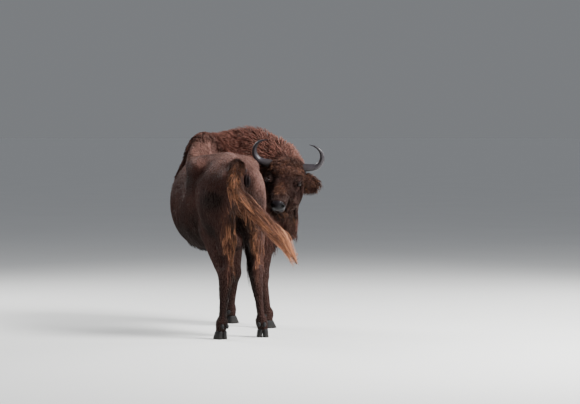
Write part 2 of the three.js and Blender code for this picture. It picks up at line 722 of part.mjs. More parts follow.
const wholeHead = solidOf(meshField(headFlesh, HEAD_BOX, HEAD_CELL));
const headSurface = largest(wholeHead.intersect(headBlock(half)), 9);
const EYE_SET = 13; // how far an eye's centre lies under the skin
const EYE_ROOM = 1.2; // between an eye and its socket
const SIDES = [
  ["left", LEFT],
  ["right", RIGHT],
];
let head = solidOf(headSurface);
for (const [name, side] of SIDES) {
  const outward = headDirection(0.25, side * 0.9, 0.32);
  const lid = leave(headFlesh, inHead(EYE.x, side * EYE.y * 0.5, EYE.z), outward);
  const centre = lid.addScaledVector(outward, -EYE_SET);
  const ball = (radius) => new THREE.SphereGeometry(radius, 10, 7).translate(...centre.toArray());
  head = head.subtract(solidOf(ball(EYE_RADIUS + EYE_ROOM)));
  addNode(`eye_${name}`, ball(EYE_RADIUS), finish.eye);
  const place = new THREE.Matrix4().makeBasis(...HEAD_AXES);
  place.setPosition(inHead(HEAD_LENGTH - 16, side * 42, -58));
  const nostril = new THREE.SphereGeometry(1, 8, 6).scale(26, 11, 15).applyMatrix4(place);
  head = head.subtract(solidOf(nostril));
}
addNode("head", largest(head, CRUMB), finish.coat);

const around = solidOf(swollen(headSurface, 3)).add(solidOf(swollen(neckSurface, 3)));
for (const [name, side] of SIDES) {
  addNode(`horn_${name}`, largest(hornSolid(side).subtract(around), CRUMB), finish.horn);
  addNode(`ear_${name}`, largest(earSolid(side).subtract(around), CRUMB), finish.coat);
}

// ---------- Legs, hooves and dewclaws ----------
for (const name of legNames) {
  const box = new THREE.Box3().setFromPoints([...LEGS[name].joints, LEGS[name].toe]).expandByScalar(330);
  box.min.z = HOOF_HEIGHT - 60;
  box.max.z = 1180;
  const own = legBlock(name, half).intersect(beyond(v(0, 0, HOOF_HEIGHT), UP, half));
  let leg = solidOf(largest(solidOf(meshField(body, box, v(44, 44, 64))).intersect(own), 15));
  for (const [where, side] of SIDES) {
    leg = leg.subtract(dewclawSolid(LEGS[name], side, 0.8));
    addNode(`dewclaw_${name}_${where}`, largest(dewclawSolid(LEGS[name], side), CRUMB), finish.hoof);
    addNode(`hoof_${name}_${where}`, hoofGeometry(LEGS[name], side), finish.hoof);
  }
  addNode(`leg_${name}`, largest(leg, CRUMB), finish.legs);
}

// ---------- Set the origin under the middle of the whole body, on the floor ----------
const bounds = new THREE.Box3().setFromObject(group);
const middle = bounds.getCenter(v());
for (const mesh of group.children) mesh.geometry.translate(-middle.x, -middle.y, -bounds.min.z);

export default group;
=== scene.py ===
"""A wisent cow, life size, as a still museum model.

It stands with its rump to the rear, its body bent to the right and its head turned back past the
right flank. One skin wraps all the flesh, and a coat of solid tufts grows out of it. Lengths are in
metres, and the tables of the body are in millimetres from the root of the tail.
"""

import logging
import math
from collections.abc import Callable
from dataclasses import dataclass, field, replace
from enum import Enum

import bmesh
import bpy
import numpy as np
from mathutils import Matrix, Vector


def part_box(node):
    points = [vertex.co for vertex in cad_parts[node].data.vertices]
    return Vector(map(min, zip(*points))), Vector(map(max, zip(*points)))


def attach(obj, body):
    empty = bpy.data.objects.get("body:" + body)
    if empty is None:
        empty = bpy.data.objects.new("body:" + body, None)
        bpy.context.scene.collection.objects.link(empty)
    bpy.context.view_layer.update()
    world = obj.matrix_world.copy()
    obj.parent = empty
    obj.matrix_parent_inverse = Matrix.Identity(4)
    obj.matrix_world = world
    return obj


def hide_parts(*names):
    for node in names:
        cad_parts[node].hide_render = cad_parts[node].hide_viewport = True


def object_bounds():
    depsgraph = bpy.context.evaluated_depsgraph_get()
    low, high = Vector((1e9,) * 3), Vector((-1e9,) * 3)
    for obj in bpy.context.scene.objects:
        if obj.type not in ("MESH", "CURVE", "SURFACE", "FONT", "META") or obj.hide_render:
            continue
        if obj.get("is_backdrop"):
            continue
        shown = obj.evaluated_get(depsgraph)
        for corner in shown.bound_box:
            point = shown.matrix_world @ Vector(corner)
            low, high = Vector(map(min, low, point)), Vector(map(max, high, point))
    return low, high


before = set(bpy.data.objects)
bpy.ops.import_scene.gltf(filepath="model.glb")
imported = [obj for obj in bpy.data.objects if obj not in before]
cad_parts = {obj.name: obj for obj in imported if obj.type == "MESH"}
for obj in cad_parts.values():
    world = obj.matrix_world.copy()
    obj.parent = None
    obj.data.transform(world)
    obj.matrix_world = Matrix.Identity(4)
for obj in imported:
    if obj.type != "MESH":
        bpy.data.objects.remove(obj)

log = logging.getLogger("wisent")
Array = np.ndarray
Point = tuple[float, float, float]
Tree = bpy.types.NodeTree
Piece = bpy.types.Object
Finish = bpy.types.Material
MM = 0.001
UP = np.array([0.0, 0.0, 1.0])
TAIL_HEAD = np.array([-0.640287, 0.055644, 0.0])  # where the root of the tail stands over the floor
FAR = 0.3  # the greatest distance that the fields tell
WARM = (1.0, 0.66, 0.54)  # the tint of light that brown hair throws back


# ---------------------------------------------------------------- small sums


def place(points: object) -> Array:
    """Turns millimetres from the root of the tail into metres in the model's frame."""
    return np.asarray(points, float) * MM + TAIL_HEAD


def unit(vectors: Array) -> Array:
    """Scales each vector to a length of one."""
    length = np.sqrt((vectors * vectors).sum(-1, keepdims=True))
    return vectors / np.maximum(length, 1e-9)


def bell(value: Array, middle: float, width: float) -> Array:
    """1 at the middle, falling as e to the minus square of the distance over the width."""
    return np.exp(-(((value - middle) / width) ** 2))


def step(value: Array, low: float, high: float) -> Array:
    """Rises smoothly from 0 at low to 1 at high: 3 t squared minus 2 t cubed."""
    t = np.clip((value - low) / (high - low), 0.0, 1.0)
    return t * t * (3 - 2 * t)


def band(value: Array, a: float, b: float, c: float, d: float) -> Array:
    """0 up to a, 1 from b to c, and 0 again from d on, with soft edges."""
    return step(value, a, b) * (1 - step(value, c, d))


def mix(a: Array | float, b: Array | float, share: Array) -> Array:
    """Goes from a to b by the share."""
    return a + (b - a) * share


def smooth_min(a: Array, b: Array, k: float) -> Array:
    """The lesser of two distances, rounded where they differ by less than k."""
    h = np.maximum(k - np.abs(a - b), 0.0) / k
    return np.minimum(a, b) - h * h * k / 4


def carved(solid: Array, hollow: Array, k: float) -> Array:
    """The solid with the hollow taken out of it, rounded over k."""
    return -smooth_min(-solid, hollow, k)


def level(degrees: float) -> Array:
    """A level direction, in degrees to the left of straight ahead."""
    return np.array([math.cos(math.radians(degrees)), math.sin(math.radians(degrees)), 0.0])


def catmull(points: Array, per_span: int = 24) -> Array:
    """A centripetal Catmull-Rom curve.

    Each span is a cubic through its two ends. Its slope at an end comes from the neighbours,
    weighted by the square roots of their distances.

    Args:
        points: The points that the curve goes through.
        per_span: How many steps are taken between two points.

    Returns:
        The points of the curve, in order.
    """
    knots = np.asarray(points, float)
    ends = np.vstack([2 * knots[0] - knots[1], knots, 2 * knots[-1] - knots[-2]])
    gap = np.sqrt(np.linalg.norm(np.diff(ends, axis=0), axis=1))[:, None]
    u = np.linspace(0, 1, per_span, endpoint=False)[:, None]
    spans = []
    for i in range(len(knots) - 1):
        p0, p1, p2, p3 = ends[i : i + 4]
        d0, d1, d2 = gap[i : i + 3]
        out = ((p1 - p0) / d0 - (p2 - p0) / (d0 + d1) + (p2 - p1) / d1) * d1
        into = ((p2 - p1) / d1 - (p3 - p1) / (d1 + d2) + (p3 - p2) / d2) * d1
        square = -3 * p1 + 3 * p2 - 2 * out - into
        spans.append(p1 + out * u + square * u**2 + (2 * p1 - 2 * p2 + out + into) * u**3)
    return np.vstack([*spans, knots[-1:]])


# ---------------------------------------------------------------- meshes


@dataclass
class PolyMesh:
    """Vertices, and polygons kept as one run of corners with the number of corners of each."""

    points: Array
    corners: Array
    sizes: Array

    @classmethod
    def of(cls, points: Array, *faces: Array) -> "PolyMesh":
        """Makes a mesh from vertices and from arrays of faces, each with one row to a face."""
        corners = np.concatenate([f.reshape(-1) for f in faces])
        sizes = np.concatenate([np.full(len(f), f.shape[1]) for f in faces])
        return cls(points, corners, sizes)

    def plus(self, *others: "PolyMesh") -> "PolyMesh":
        """This mesh and the others as one, none of them joined to another."""
        meshes = [self, *others]
        shifts = np.cumsum([0] + [len(m.points) for m in meshes[:-1]])
        corners = np.concatenate([m.corners + n for m, n in zip(meshes, shifts)])
        return PolyMesh(
            np.vstack([m.points for m in meshes]), corners, np.concatenate([m.sizes for m in meshes])
        )

    def starts(self) -> Array:
        """Where each polygon's corners start in the run."""
        return np.cumsum(self.sizes) - self.sizes

    def triangles(self) -> Array:
        """Each polygon cut into triangles that fan out from its first corner."""
        starts = self.starts()
        fans = []
        for size in np.unique(self.sizes):
            first = starts[self.sizes == size]
            for k in range(1, size - 1):
                fans.append(np.stack([first, first + k, first + k + 1], 1))
        return self.corners[np.vstack(fans)]

    def normals(self) -> Array:
        """The direction out of the surface at each vertex: the mean over its triangles by area."""
        tri = self.triangles()
        a, b, c = (self.points[tri[:, k]] for k in range(3))
        face = np.cross(b - a, c - a)
        total = np.zeros_like(self.points)
        for axis in range(3):
            for k in range(3):
                total[:, axis] += np.bincount(tri[:, k], face[:, axis], len(self.points))
        return unit(total)

    def flipped(self) -> "PolyMesh":
        """The same surface, facing the other way."""
        starts = self.starts()
        within = np.arange(len(self.corners)) - np.repeat(starts, self.sizes)
        mirrored = np.repeat(starts + self.sizes - 1, self.sizes) - within
        return PolyMesh(self.points, self.corners[mirrored], self.sizes)

    def facing_out(self, middle: Array) -> "PolyMesh":
        """The surface turned, if it has to be, so that it faces away from the middle."""
        outward = ((self.points - middle) * self.normals()).sum() > 0
        return self if outward else self.flipped()

    def into(self, mesh: bpy.types.Mesh) -> None:
        """Writes the vertices and polygons into an empty mesh."""
        mesh.vertices.add(len(self.points))
        mesh.vertices.foreach_set("co", self.points.astype(np.float32).ravel())
        mesh.loops.add(len(self.corners))
        mesh.loops.foreach_set("vertex_index", self.corners.astype(np.int32))
        mesh.polygons.add(len(self.sizes))
        starts = self.starts()
        mesh.polygons.foreach_set("loop_start", starts.astype(np.int32))
        mesh.polygons.foreach_set("use_smooth", np.ones(len(self.sizes), bool))
        mesh.update(calc_edges=True)
        mesh.validate()

    @classmethod
    def out_of(cls, bm: bmesh.types.BMesh) -> "PolyMesh":
        """Reads a mesh back from Blender's editing form."""
        mesh = bpy.data.meshes.new("scratch")
        bm.to_mesh(mesh)
        points = np.empty(len(mesh.vertices) * 3)
        mesh.vertices.foreach_get("co", points)
        corners = np.empty(len(mesh.loops), np.int32)
        mesh.loops.foreach_get("vertex_index", corners)
        sizes = np.empty(len(mesh.polygons), np.int32)
        mesh.polygons.foreach_get("loop_total", sizes)
        bpy.data.meshes.remove(mesh)
        return cls(points.reshape(-1, 3), corners, sizes)

    def refined(self, wanted: Array) -> "PolyMesh":
        """Cuts each face whose vertices are all wanted into four.

        Args:
            wanted: True at the vertices of the region.

        Returns:
            The finer mesh, whose new vertices lie on the old faces.
        """
        mesh = bpy.data.meshes.new("scratch")
        self.into(mesh)
        bm = bmesh.new()
        bm.from_mesh(mesh)
        bpy.data.meshes.remove(mesh)
        edges = [e for e in bm.edges if wanted[e.verts[0].index] and wanted[e.verts[1].index]]
        bmesh.ops.subdivide_edges(bm, edges=edges, cuts=1, use_grid_fill=True)
        bmesh.ops.triangulate(bm, faces=[f for f in bm.faces if len(f.verts) > 4])
        result = PolyMesh.out_of(bm)
        bm.free()
        return result

    def evened(self, amount: float = 0.5) -> Array:
        """The vertices moved by a share of the way to the mean of their neighbours."""
        starts = self.starts()
        following = np.arange(len(self.corners)) + 1
        following[starts + self.sizes - 1] = starts
        a, b = self.corners, self.corners[following]
        count = np.bincount(a, minlength=len(self.points)) + np.bincount(b, minlength=len(self.points))
        total = np.zeros_like(self.points)
        for axis in range(3):
            total[:, axis] = np.bincount(a, self.points[b, axis], len(self.points))
            total[:, axis] += np.bincount(b, self.points[a, axis], len(self.points))
        return mix(self.points, total / np.maximum(count, 1)[:, None], amount)


def wrapped(grid: Array) -> Array:
    """Quads between the rows of a grid of vertices, each row running round in a loop."""
    after = np.roll(grid, -1, axis=1)
    return np.stack([grid[:-1], after[:-1], after[1:], grid[1:]], -1).reshape(-1, 4)


def closed(rings: Array, first: Array, last: Array) -> PolyMesh:
    """A surface through rings of points, closed by a fan round a pole at each end."""
    count, sides = rings.shape[:2]
    pole = count * sides
    grid = np.arange(pole).reshape(count, sides)
    after = np.roll(grid, -1, axis=1)
    start = np.stack([np.full(sides, pole), after[0], grid[0]], 1)
    end = np.stack([np.full(sides, pole + 1), grid[-1], after[-1]], 1)
    return PolyMesh.of(np.vstack([rings.reshape(-1, 3), [first], [last]]), wrapped(grid), start, end)


def lofted(rings: Array, first: Array, last: Array) -> PolyMesh:
    """A closed surface through rings of points, facing outwards."""
    mesh = closed(rings, first, last)
    return mesh.facing_out(mesh.points.mean(0))


def carried(path: Array, across: Array, section: Array) -> PolyMesh:
    """A section carried along a path and closed at both ends.

    A point is the path's point plus the section's two offsets, along the direction across made
    square to the path, and along the path's direction crossed with that.

    Args:
        path: K points in order.
        across: The direction that the first offset keeps to.
        section: K by M by 2 offsets, running round anticlockwise.

    Returns:
        The closed surface.
    """
    ahead = unit(np.gradient(path, axis=0))
    ex = unit(across - ahead * (ahead @ across)[:, None])
    ey = np.cross(ahead, ex)
    rings = path[:, None] + section[..., :1] * ex[:, None] + section[..., 1:] * ey[:, None]
    return closed(rings, path[0], path[-1])


def lengths(path: Array) -> Array:
    """The distance along a path to each of its points."""
    return np.concatenate([[0], np.cumsum(np.linalg.norm(np.diff(path, axis=0), axis=1))])


def round_section(radii: Array, sides: int, flat: float = 1.0) -> Array:
    """Circles of the given radii, for a carried surface, squeezed by flat in the second offset."""
    angle = np.linspace(0, 2 * np.pi, sides, endpoint=False)
    ring = np.stack([np.cos(angle), flat * np.sin(angle)], -1)
    return radii[:, None, None] * ring[None]


def make_piece(name: str, mesh: PolyMesh, material: Finish) -> Piece:
    """Makes a piece of the model out of a mesh, in its place and riding on the body.

    Args:
        name: The piece's name.
        mesh: Its surface.
        material: Its finish.

    Returns:
        The new object.
    """
    data = bpy.data.meshes.new(name)
    mesh.into(data)
    data.materials.append(material)
    piece = bpy.data.objects.new(name, data)
    bpy.context.scene.collection.objects.link(piece)
    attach(piece, "root")
    log.info("%s: %d triangles", name, int((mesh.sizes - 2).sum()))
    return piece


def write_values(piece: Piece, values: dict[str, Array]) -> None:
    """Keeps a number for each vertex under each name, for the finishes to read."""
    for name, numbers in values.items():
        layer = piece.data.attributes.new(name, "FLOAT", "POINT")
        layer.data.foreach_set("value", np.asarray(numbers, np.float32))


# ---------------------------------------------------------------- masses of flesh


@dataclass(frozen=True)
class Ellipsoid:
    """A mass with a half length along each of three directions, the rows of axes."""

    centre: Array
    radii: Array
    axes: Array

    def reach(self) -> tuple[Array, float]:
        """The middle and radius of a ball round the mass."""
        return self.centre, float(max(self.radii))

    def distance(self, p: Array) -> Array:
        """How far points are from the surface: with q the scaled length, q (q - 1) over its slope."""
        q = (p - self.centre) @ (self.axes.T / self.radii)
        near = np.sqrt((q * q).sum(1))
        steep = np.sqrt(((q / self.radii) ** 2).sum(1))
        return near * (near - 1) / np.maximum(steep, 1e-6)


@dataclass(frozen=True)
class Limb:
    """A tapered mass between two points, whose breadth across is flat times its depth."""

    start: Array
    r0: float
    end: Array
    r1: float
    flat: float = 1.0
    across: Array = field(default_factory=lambda: np.array([0.0, 1.0, 0.0]))

    def reach(self) -> tuple[Array, float]:
        """The middle and radius of a ball round the mass."""
        half = np.linalg.norm(self.end - self.start) / 2
        return (self.start + self.end) / 2, float(half + max(self.r0, self.r1) * max(self.flat, 1.0))

    def distance(self, p: Array) -> Array:
        """How far points are from the surface: from the axis, less the radius at that place."""
        axis = self.end - self.start
        side = unit(self.across - axis * (self.across @ axis) / (axis @ axis))
        d = p - self.start
        t = np.clip(d @ axis / (axis @ axis), 0, 1)
        d = d - t[:, None] * axis
        d = d + ((d @ side) * (1 / self.flat - 1))[:, None] * side
        return np.sqrt((d * d).sum(1)) - (self.r0 + (self.r1 - self.r0) * t)


@dataclass
class Union:
    """Masses that run into each other over a width."""

    masses: list[Ellipsoid | Limb]
    blend: float

    def distance(self, p: Array) -> Array:
        """How far points are from the joined surface, told only near each mass."""
        result = np.full(len(p), FAR)
        for mass in self.masses:
            centre, radius = mass.reach()
            away = p - centre
            near = np.flatnonzero((away * away).sum(1) < (radius + FAR) ** 2)
            if len(near):
                result[near] = smooth_min(result[near], mass.distance(p[near]), self.blend)
        return result


# ---------------------------------------------------------------- the pose


@dataclass
class Spine:
    """The line of the back, from the root of the tail to the poll."""

    knots: list[Point] = field(
        default_factory=lambda: [
            (0, 0, 1415),  # root of the tail
            (400, 120, 1478),  # sacrum
            (640, 190, 1476),  # loin
            (880, 268, 1532),  # middle of the back
            (1080, 282, 1604),  # withers
            (1222, 140, 1628),  # top of the shoulder blades
            (1290, -60, 1655),  # hump
            (1262, -232, 1628),  # foot of the neck
            (1128, -362, 1528),  # nape
            (900, -400, 1410),  # poll
        ]
    )

    def __post_init__(self) -> None:
        """Lays out the curve and the distance along it."""
        self.line = catmull(place(self.knots), 12)
        self.along = lengths(self.line)
        self.ahead = unit(np.gradient(self.line, axis=0) * [1, 1, 0])
        self.length = float(self.along[-1])

    def direction(self, s: Array) -> Array:
        """The level direction ahead at distances s along the back."""
        return unit(np.stack([np.interp(s, self.along, self.ahead[:, k]) for k in range(3)], -1))

    def at(self, s: float, side: float, z: float) -> Array:
        """A point s millimetres along the back, side to its left and z above the floor."""
        inside = float(np.clip(s * MM, 0, self.length))
        ahead = self.direction(np.array(inside))
        foot = np.array([np.interp(inside, self.along, self.line[:, k]) for k in range(3)])
        point = foot + ahead * (s * MM - inside) + np.cross(UP, ahead) * side * MM
        return np.array([point[0], point[1], z * MM])

    def nearest(self, p: Array) -> tuple[Array, Array]:
        """The distance along the back of the nearest point in plan, and how far left of it p is."""
        s, side = np.empty(len(p)), np.empty(len(p))
        for chunk in np.array_split(np.arange(len(p)), max(1, len(p) // 40000)):
            gap = p[chunk, None, :2] - self.line[None, :, :2]
            best = (gap * gap).sum(-1).argmin(1)
            off = gap[np.arange(len(chunk)), best]
            ahead = self.ahead[best, :2]
            s[chunk] = self.along[best] + (off * ahead).sum(1)
            side[chunk] = ahead[:, 0] * off[:, 1] - ahead[:, 1] * off[:, 0]
        return s, side


class Side(Enum):
    """The two sides of the animal, with the sign of their lateral direction."""

    LEFT = 1
    RIGHT = -1

    @property
    def word(self) -> str:
        """The side's name in lower case."""
        return self.name.lower()


@dataclass(frozen=True)
class HeadPose:
    """Where the head is: x runs from the poll to the nose, y to its left and z out of the forehead."""

    poll: Point = (905, -388, 1398)
    heading: float = -196
    pitch: float = 47
    roll: float = 10

    def axes(self) -> Array:
        """The three directions of the head, as rows."""
        a, b, c = (math.radians(v) for v in (self.heading, self.pitch, -self.roll))
        turn = np.array([[math.cos(a), -math.sin(a), 0], [math.sin(a), math.cos(a), 0], [0, 0, 1]])
        nod = np.array([[math.cos(b), 0, math.sin(b)], [0, 1, 0], [-math.sin(b), 0, math.cos(b)]])
        tilt = np.array([[1, 0, 0], [0, math.cos(c), -math.sin(c)], [0, math.sin(c), math.cos(c)]])
        return (turn @ nod @ tilt).T

    def put(self, points: object) -> Array:
        """Millimetres in the head to metres in the model's frame."""
        return place(self.poll) + (np.asarray(points, float) * MM) @ self.axes()

    def local(self, p: Array) -> Array:
        """Metres in the model's frame to metres in the head."""
        return (p - place(self.poll)) @ self.axes().T

    def way(self, x: float, y: float, z: float) -> Array:
        """A direction given in the head, in the model's frame."""
        return unit(np.array([x, y, z]) @ self.axes())


@dataclass(frozen=True)
class Leg:
    """The joints of a leg from the top down, its toe on the floor, and which way its foot points."""

    name: str
    hind: bool
    joints: tuple[Point, ...]
    toe: Point
    heading: float

    @property
    def ahead(self) -> Array:
        """The level direction that the foot points in."""
        return level(self.heading)

    @property
    def left(self) -> Array:
        """The level direction to the left of the foot."""
        return np.cross(UP, self.ahead)

    @property
    def coronet(self) -> Array:
        """The middle of the top of the hoof, where the pastern ends."""
        return np.append((place(self.toe) - self.ahead * 0.022)[:2], 0.068)


LEGS = (
    Leg("hind_left", True, ((128, 172, 1075), (322, 210, 835), (20, 96, 500), (2, 126, 128)),
        (34, 148, 0), 32),
    Leg("hind_right", True, ((208, -92, 1075), (430, -112, 835), (196, -134, 512), (184, -180, 128)),
        (216, -188, 0), 4),
    Leg("fore_left", False, ((1325, 66, 1080), (1362, 62, 800), (1402, 60, 432), (1440, 98, 122)),
        (1462, 80, 0), -44),
    Leg("fore_right", False,
        ((1080, -164, 1080), (1052, -208, 800), (1012, -178, 432), (996, -222, 122)),
        (1010, -240, 0), -52),
)
TAIL_LINE = ((30, 8, 1376), (-66, 6, 1350), (-132, 24, 1275), (-152, 22, 1200), (-160, -46, 1110),
             (-162, -146, 1000), (-156, -245, 904), (-148, -335, 812), (-140, -412, 700),
             (-132, -458, 598))
SPINE = Spine()
HEAD = HeadPose()


@dataclass
class Flesh:
    """The masses of flesh under the coat, and how deep the coat lies over them."""

    def __post_init__(self) -> None:
        """Gathers the masses of each part."""
        self.trunk = Union(self.trunk_masses(), 0.062)
        self.neck = Union(self.neck_masses(), 0.062)
        made = [self.hind_masses(leg) if leg.hind else self.fore_masses(leg) for leg in LEGS]
        self.legs = [Union(masses, 0.034) for masses in made]
        self.head = Union(self.head_masses(), 0.022)
        self.mane = Union(self.mane_masses(), 0.040)

    def block(self, s: float, side: float, z: float, radii: Point) -> Ellipsoid:
        """A mass turned as the trunk is at s: half length, half width and half height."""
        ahead = SPINE.direction(np.array(np.clip(s * MM, 0, SPINE.length)))
        axes = np.stack([ahead, np.cross(UP, ahead), UP])
        return Ellipsoid(SPINE.at(s, side, z), np.array(radii) * MM, axes)

    def trunk_masses(self) -> list[Ellipsoid]:
        """The masses from the rump to the chest."""
        rows = [
            (270, 0, 1200, (345, 238, 232)),  # pelvis
            (330, 0, 1345, (330, 165, 118)),  # croup
            (50, 0, 1338, (120, 78, 66)),  # root of the tail
            (640, 0, 1318, (290, 205, 138)),  # loin
            (700, 6, 1015, (355, 296, 355)),  # paunch
            (930, 0, 1045, (320, 314, 385)),  # barrel
            (165, 0, 762, (115, 78, 88)),  # udder
            (1150, -12, 1085, (270, 296, 415)),  # ribs
            (1345, -40, 1085, (250, 275, 428)),  # chest
            (1520, -40, 1060, (210, 232, 372)),  # front of the chest
            (1080, 8, 1418, (240, 122, 178)),  # withers
            (1150, -4, 1405, (320, 128, 192)),  # rise of the back
            (1450, 0, 1400, (320, 140, 240)),  # hump
            (1600, -8, 1400, (210, 140, 218)),  # front of the hump
            (420, 228, 1343, (150, 80, 82)),  # left hook bone, the higher one
            (420, -202, 1328, (145, 76, 78)),  # right hook bone
            (510, 126, 1130, (240, 162, 245)),  # left flank, the fuller one
            (510, -112, 1120, (230, 150, 235)),  # right flank
            (445, 182, 1240, (140, 108, 130)),  # below the left hook bone
            (445, -160, 1225, (140, 98, 130)),  # below the right hook bone
        ]
        for k in (1, -1):
            rows.append((-24, k * 100, 1258, (86, 60, 74)))  # pin bone
            rows.append((425, k * 140, 1348, (120, 132, 92)))  # haunch
        return [self.block(*row) for row in rows]

    def neck_masses(self) -> list[Limb]:
        """The neck, narrow and deep, in three lengths from the chest to the head."""
        line = [((1225, -105, 1288), 345), ((1172, -242, 1276), 286),
                ((1085, -322, 1250), 232), ((965, -362, 1215), 176)]
        limbs = []
        for (a, r0), (b, r1) in zip(line, line[1:]):
            across = np.cross(UP, place(b) - place(a))
            limbs.append(Limb(place(a), r0 * MM, place(b), r1 * MM, 0.54, across))
        return limbs

    def mane_masses(self) -> list[Limb]:
        """The thick of the long hair under the throat, the chin and the front of the chest."""
        rows = [
            ((1020, -380, 1120), 100, (985, -396, 965), 74, 0.6),
            ((985, -396, 965), 74, (984, -418, 815), 30, 0.66),
            ((1080, -330, 1060), 104, (1089, -321, 850), 38, 0.70),
            ((1225, -220, 960), 108, (1198, -258, 752), 30, 0.75),
        ]
        limbs = [Limb(place(a), r0 * MM, place(b), r1 * MM, flat) for a, r0, b, r1, flat in rows]
        return [*limbs, self.bar((240, 0, -215), 36, (288, 0, -280), 12)]

    def hind_masses(self, leg: Leg) -> list[Ellipsoid | Limb]:
        """The masses of a hind leg, from the thigh to the pastern."""
        hip, stifle, hock, fetlock = (place(j) for j in leg.joints)
        ahead, left = leg.ahead, leg.left
        seat = np.append((hip - ahead * 0.088)[:2], 1.04)
        heel = hock - ahead * 0.042 + UP * 0.022
        breech = np.append((hock + ahead * 0.012)[:2], 0.70)
        tendon = hock + UP * 0.19
        fill = stifle * 0.5 + breech * 0.5 + UP * 0.08
        axes = np.stack([ahead, left, UP])
        return [
            Ellipsoid(hip, np.array([0.215, 0.128, 0.265]), axes),  # thigh
            Limb(seat, 0.128, breech, 0.070, 0.80, left),  # buttock
            Limb(hip, 0.150, stifle, 0.122, 0.78, left),
            Limb(stifle, 0.126, hock, 0.066, 0.80, left),  # gaskin
            Ellipsoid(fill, np.array([0.12, 0.086, 0.17]), axes),  # between gaskin and buttock
            Limb(tendon - ahead * 0.030, 0.050, heel, 0.034, 0.66, left),  # heel tendon
            Limb(heel, 0.044, hock - UP * 0.09, 0.038, 0.84, left),  # point of the hock
            Limb(hock + UP * 0.01, 0.060, hock * 0.58 + fetlock * 0.42, 0.039, 0.84, left),
            Limb(hock, 0.048, fetlock, 0.034, 0.86, left),  # cannon
            Ellipsoid(fetlock, np.array([0.045, 0.043, 0.044]), axes),
            Limb(fetlock, 0.038, leg.coronet, 0.043, 1.05, left),  # pastern
        ]

    def fore_masses(self, leg: Leg) -> list[Ellipsoid | Limb]:
        """The masses of a fore leg, from the shoulder to the pastern."""
        shoulder, elbow, knee, fetlock = (place(j) for j in leg.joints)
        left = leg.left
        axes = np.stack([leg.ahead, left, UP])
        return [
            Ellipsoid(shoulder, np.array([0.165, 0.092, 0.250]), axes),
            Limb(shoulder, 0.140, elbow, 0.092, 0.7, left),
            Limb(elbow, 0.096, knee, 0.050, 0.78, left),  # forearm
            Ellipsoid(knee, np.array([0.052, 0.047, 0.060]), axes),
            Limb(knee, 0.045, fetlock, 0.033, 0.84, left),  # cannon
            Ellipsoid(fetlock, np.array([0.044, 0.041, 0.043]), axes),
            Limb(fetlock, 0.037, leg.coronet, 0.043, 1.05, left),  # pastern
        ]

    def lump(self, x: float, y: float, z: float, radii: Point) -> Ellipsoid:
        """A mass of the head, with its half axes along the head's own directions."""
        return Ellipsoid(HEAD.put((x, y, z)), np.array(radii) * MM, HEAD.axes())

    def bar(self, a: tuple, r0: float, b: tuple, r1: float, flat: float = 1.0) -> Limb:
        """A tapered mass of the head between two points."""
        return Limb(HEAD.put(a), r0 * MM, HEAD.put(b), r1 * MM, flat, HEAD.axes()[1])

    def head_masses(self) -> list[Ellipsoid | Limb]:
        """The large masses of the head."""
        masses = [
            self.lump(78, 0, -92, (148, 130, 116)),  # braincase
            self.lump(60, 0, -52, (120, 130, 74)),  # crown
            self.bar((95, 0, -75), 104, (350, 0, -70), 66, 1.06),  # forehead and nose bridge
            self.bar((215, 0, -196), 56, (416, 0, -128), 40, 1.25),  # lower jaw
            self.lump(394, 0, -78, (82, 66, 62)),  # muzzle
            self.lump(438, 0, -74, (44, 64, 51)),  # lips and nostrils
            self.lump(176, 0, -205, (105, 60, 52)),  # throat
        ]
        for k in (1, -1):
            masses.append(self.lump(172, k * 108, -50, (60, 30, 34)))  # brow
            masses.append(self.bar((185, k * 84, -84), 46, (340, k * 44, -84), 34))  # side of the face
            masses.append(self.lump(205, k * 76, -148, (128, 54, 80)))  # cheek
        return masses

    def depth(self, p: Array) -> Array:
        """How deep the coat lies: deep wool over the shoulders, neck and crown, short elsewhere."""
        s, _ = SPINE.nearest(p)
        wool = step(s, 0.95, 1.32) * step(p[:, 2], 0.78, 1.02)
        leg = 1 - step(p[:, 2], 0.50, 0.78)
        body = 0.009 + 0.018 * wool - 0.004 * leg
        q = HEAD.local(p)
        crown = 1 - step(q[:, 0] + np.abs(q[:, 1]), 0.15, 0.27)
        face = 0.004 + 0.018 * crown
        return mix(body, face, 1 - step(self.head.distance(p), -0.01, 0.05))

    def distance(self, p: Array) -> Array:
        """How far points are from the skin."""
        d = smooth_min(self.trunk.distance(p), self.neck.distance(p), 0.080)
        d = smooth_min(d, self.mane.distance(p), 0.050)
        for leg in self.legs:
            d = smooth_min(d, leg.distance(p), 0.080)
        return smooth_min(d, self.head.distance(p), 0.048) + self.depth(p)


def slope(distance: Callable[[Array], Array], p: Array, reach: float = 0.002) -> tuple[Array, Array]:
    """The value and steepest direction of a field, from four points in a small tetrahedron.

    Args:
        distance: The field.
        p: Where it is asked.
        reach: The size of the tetrahedron.

    Returns:
        The mean of the four values, and the gradient.
    """
    corners = np.array([[1, 1, 1], [1, -1, -1], [-1, 1, -1], [-1, -1, 1]], float)
    values = [distance(p + c * reach) for c in corners]
    gradient = sum(v[:, None] * c for v, c in zip(values, corners)) / (4 * reach)
    return sum(values) / 4, gradient


def settled(distance: Callable[[Array], Array], p: Array, rounds: int, most: float = 0.012) -> Array:
    """Moves points along the slope of a field until they lie on its surface."""
    for _ in range(rounds):
        value, gradient = slope(distance, p)
        steep = np.maximum((gradient * gradient).sum(1), 0.2)
        move = np.clip(-value / steep, -most, most)
        p = p + gradient * move[:, None]
    return p


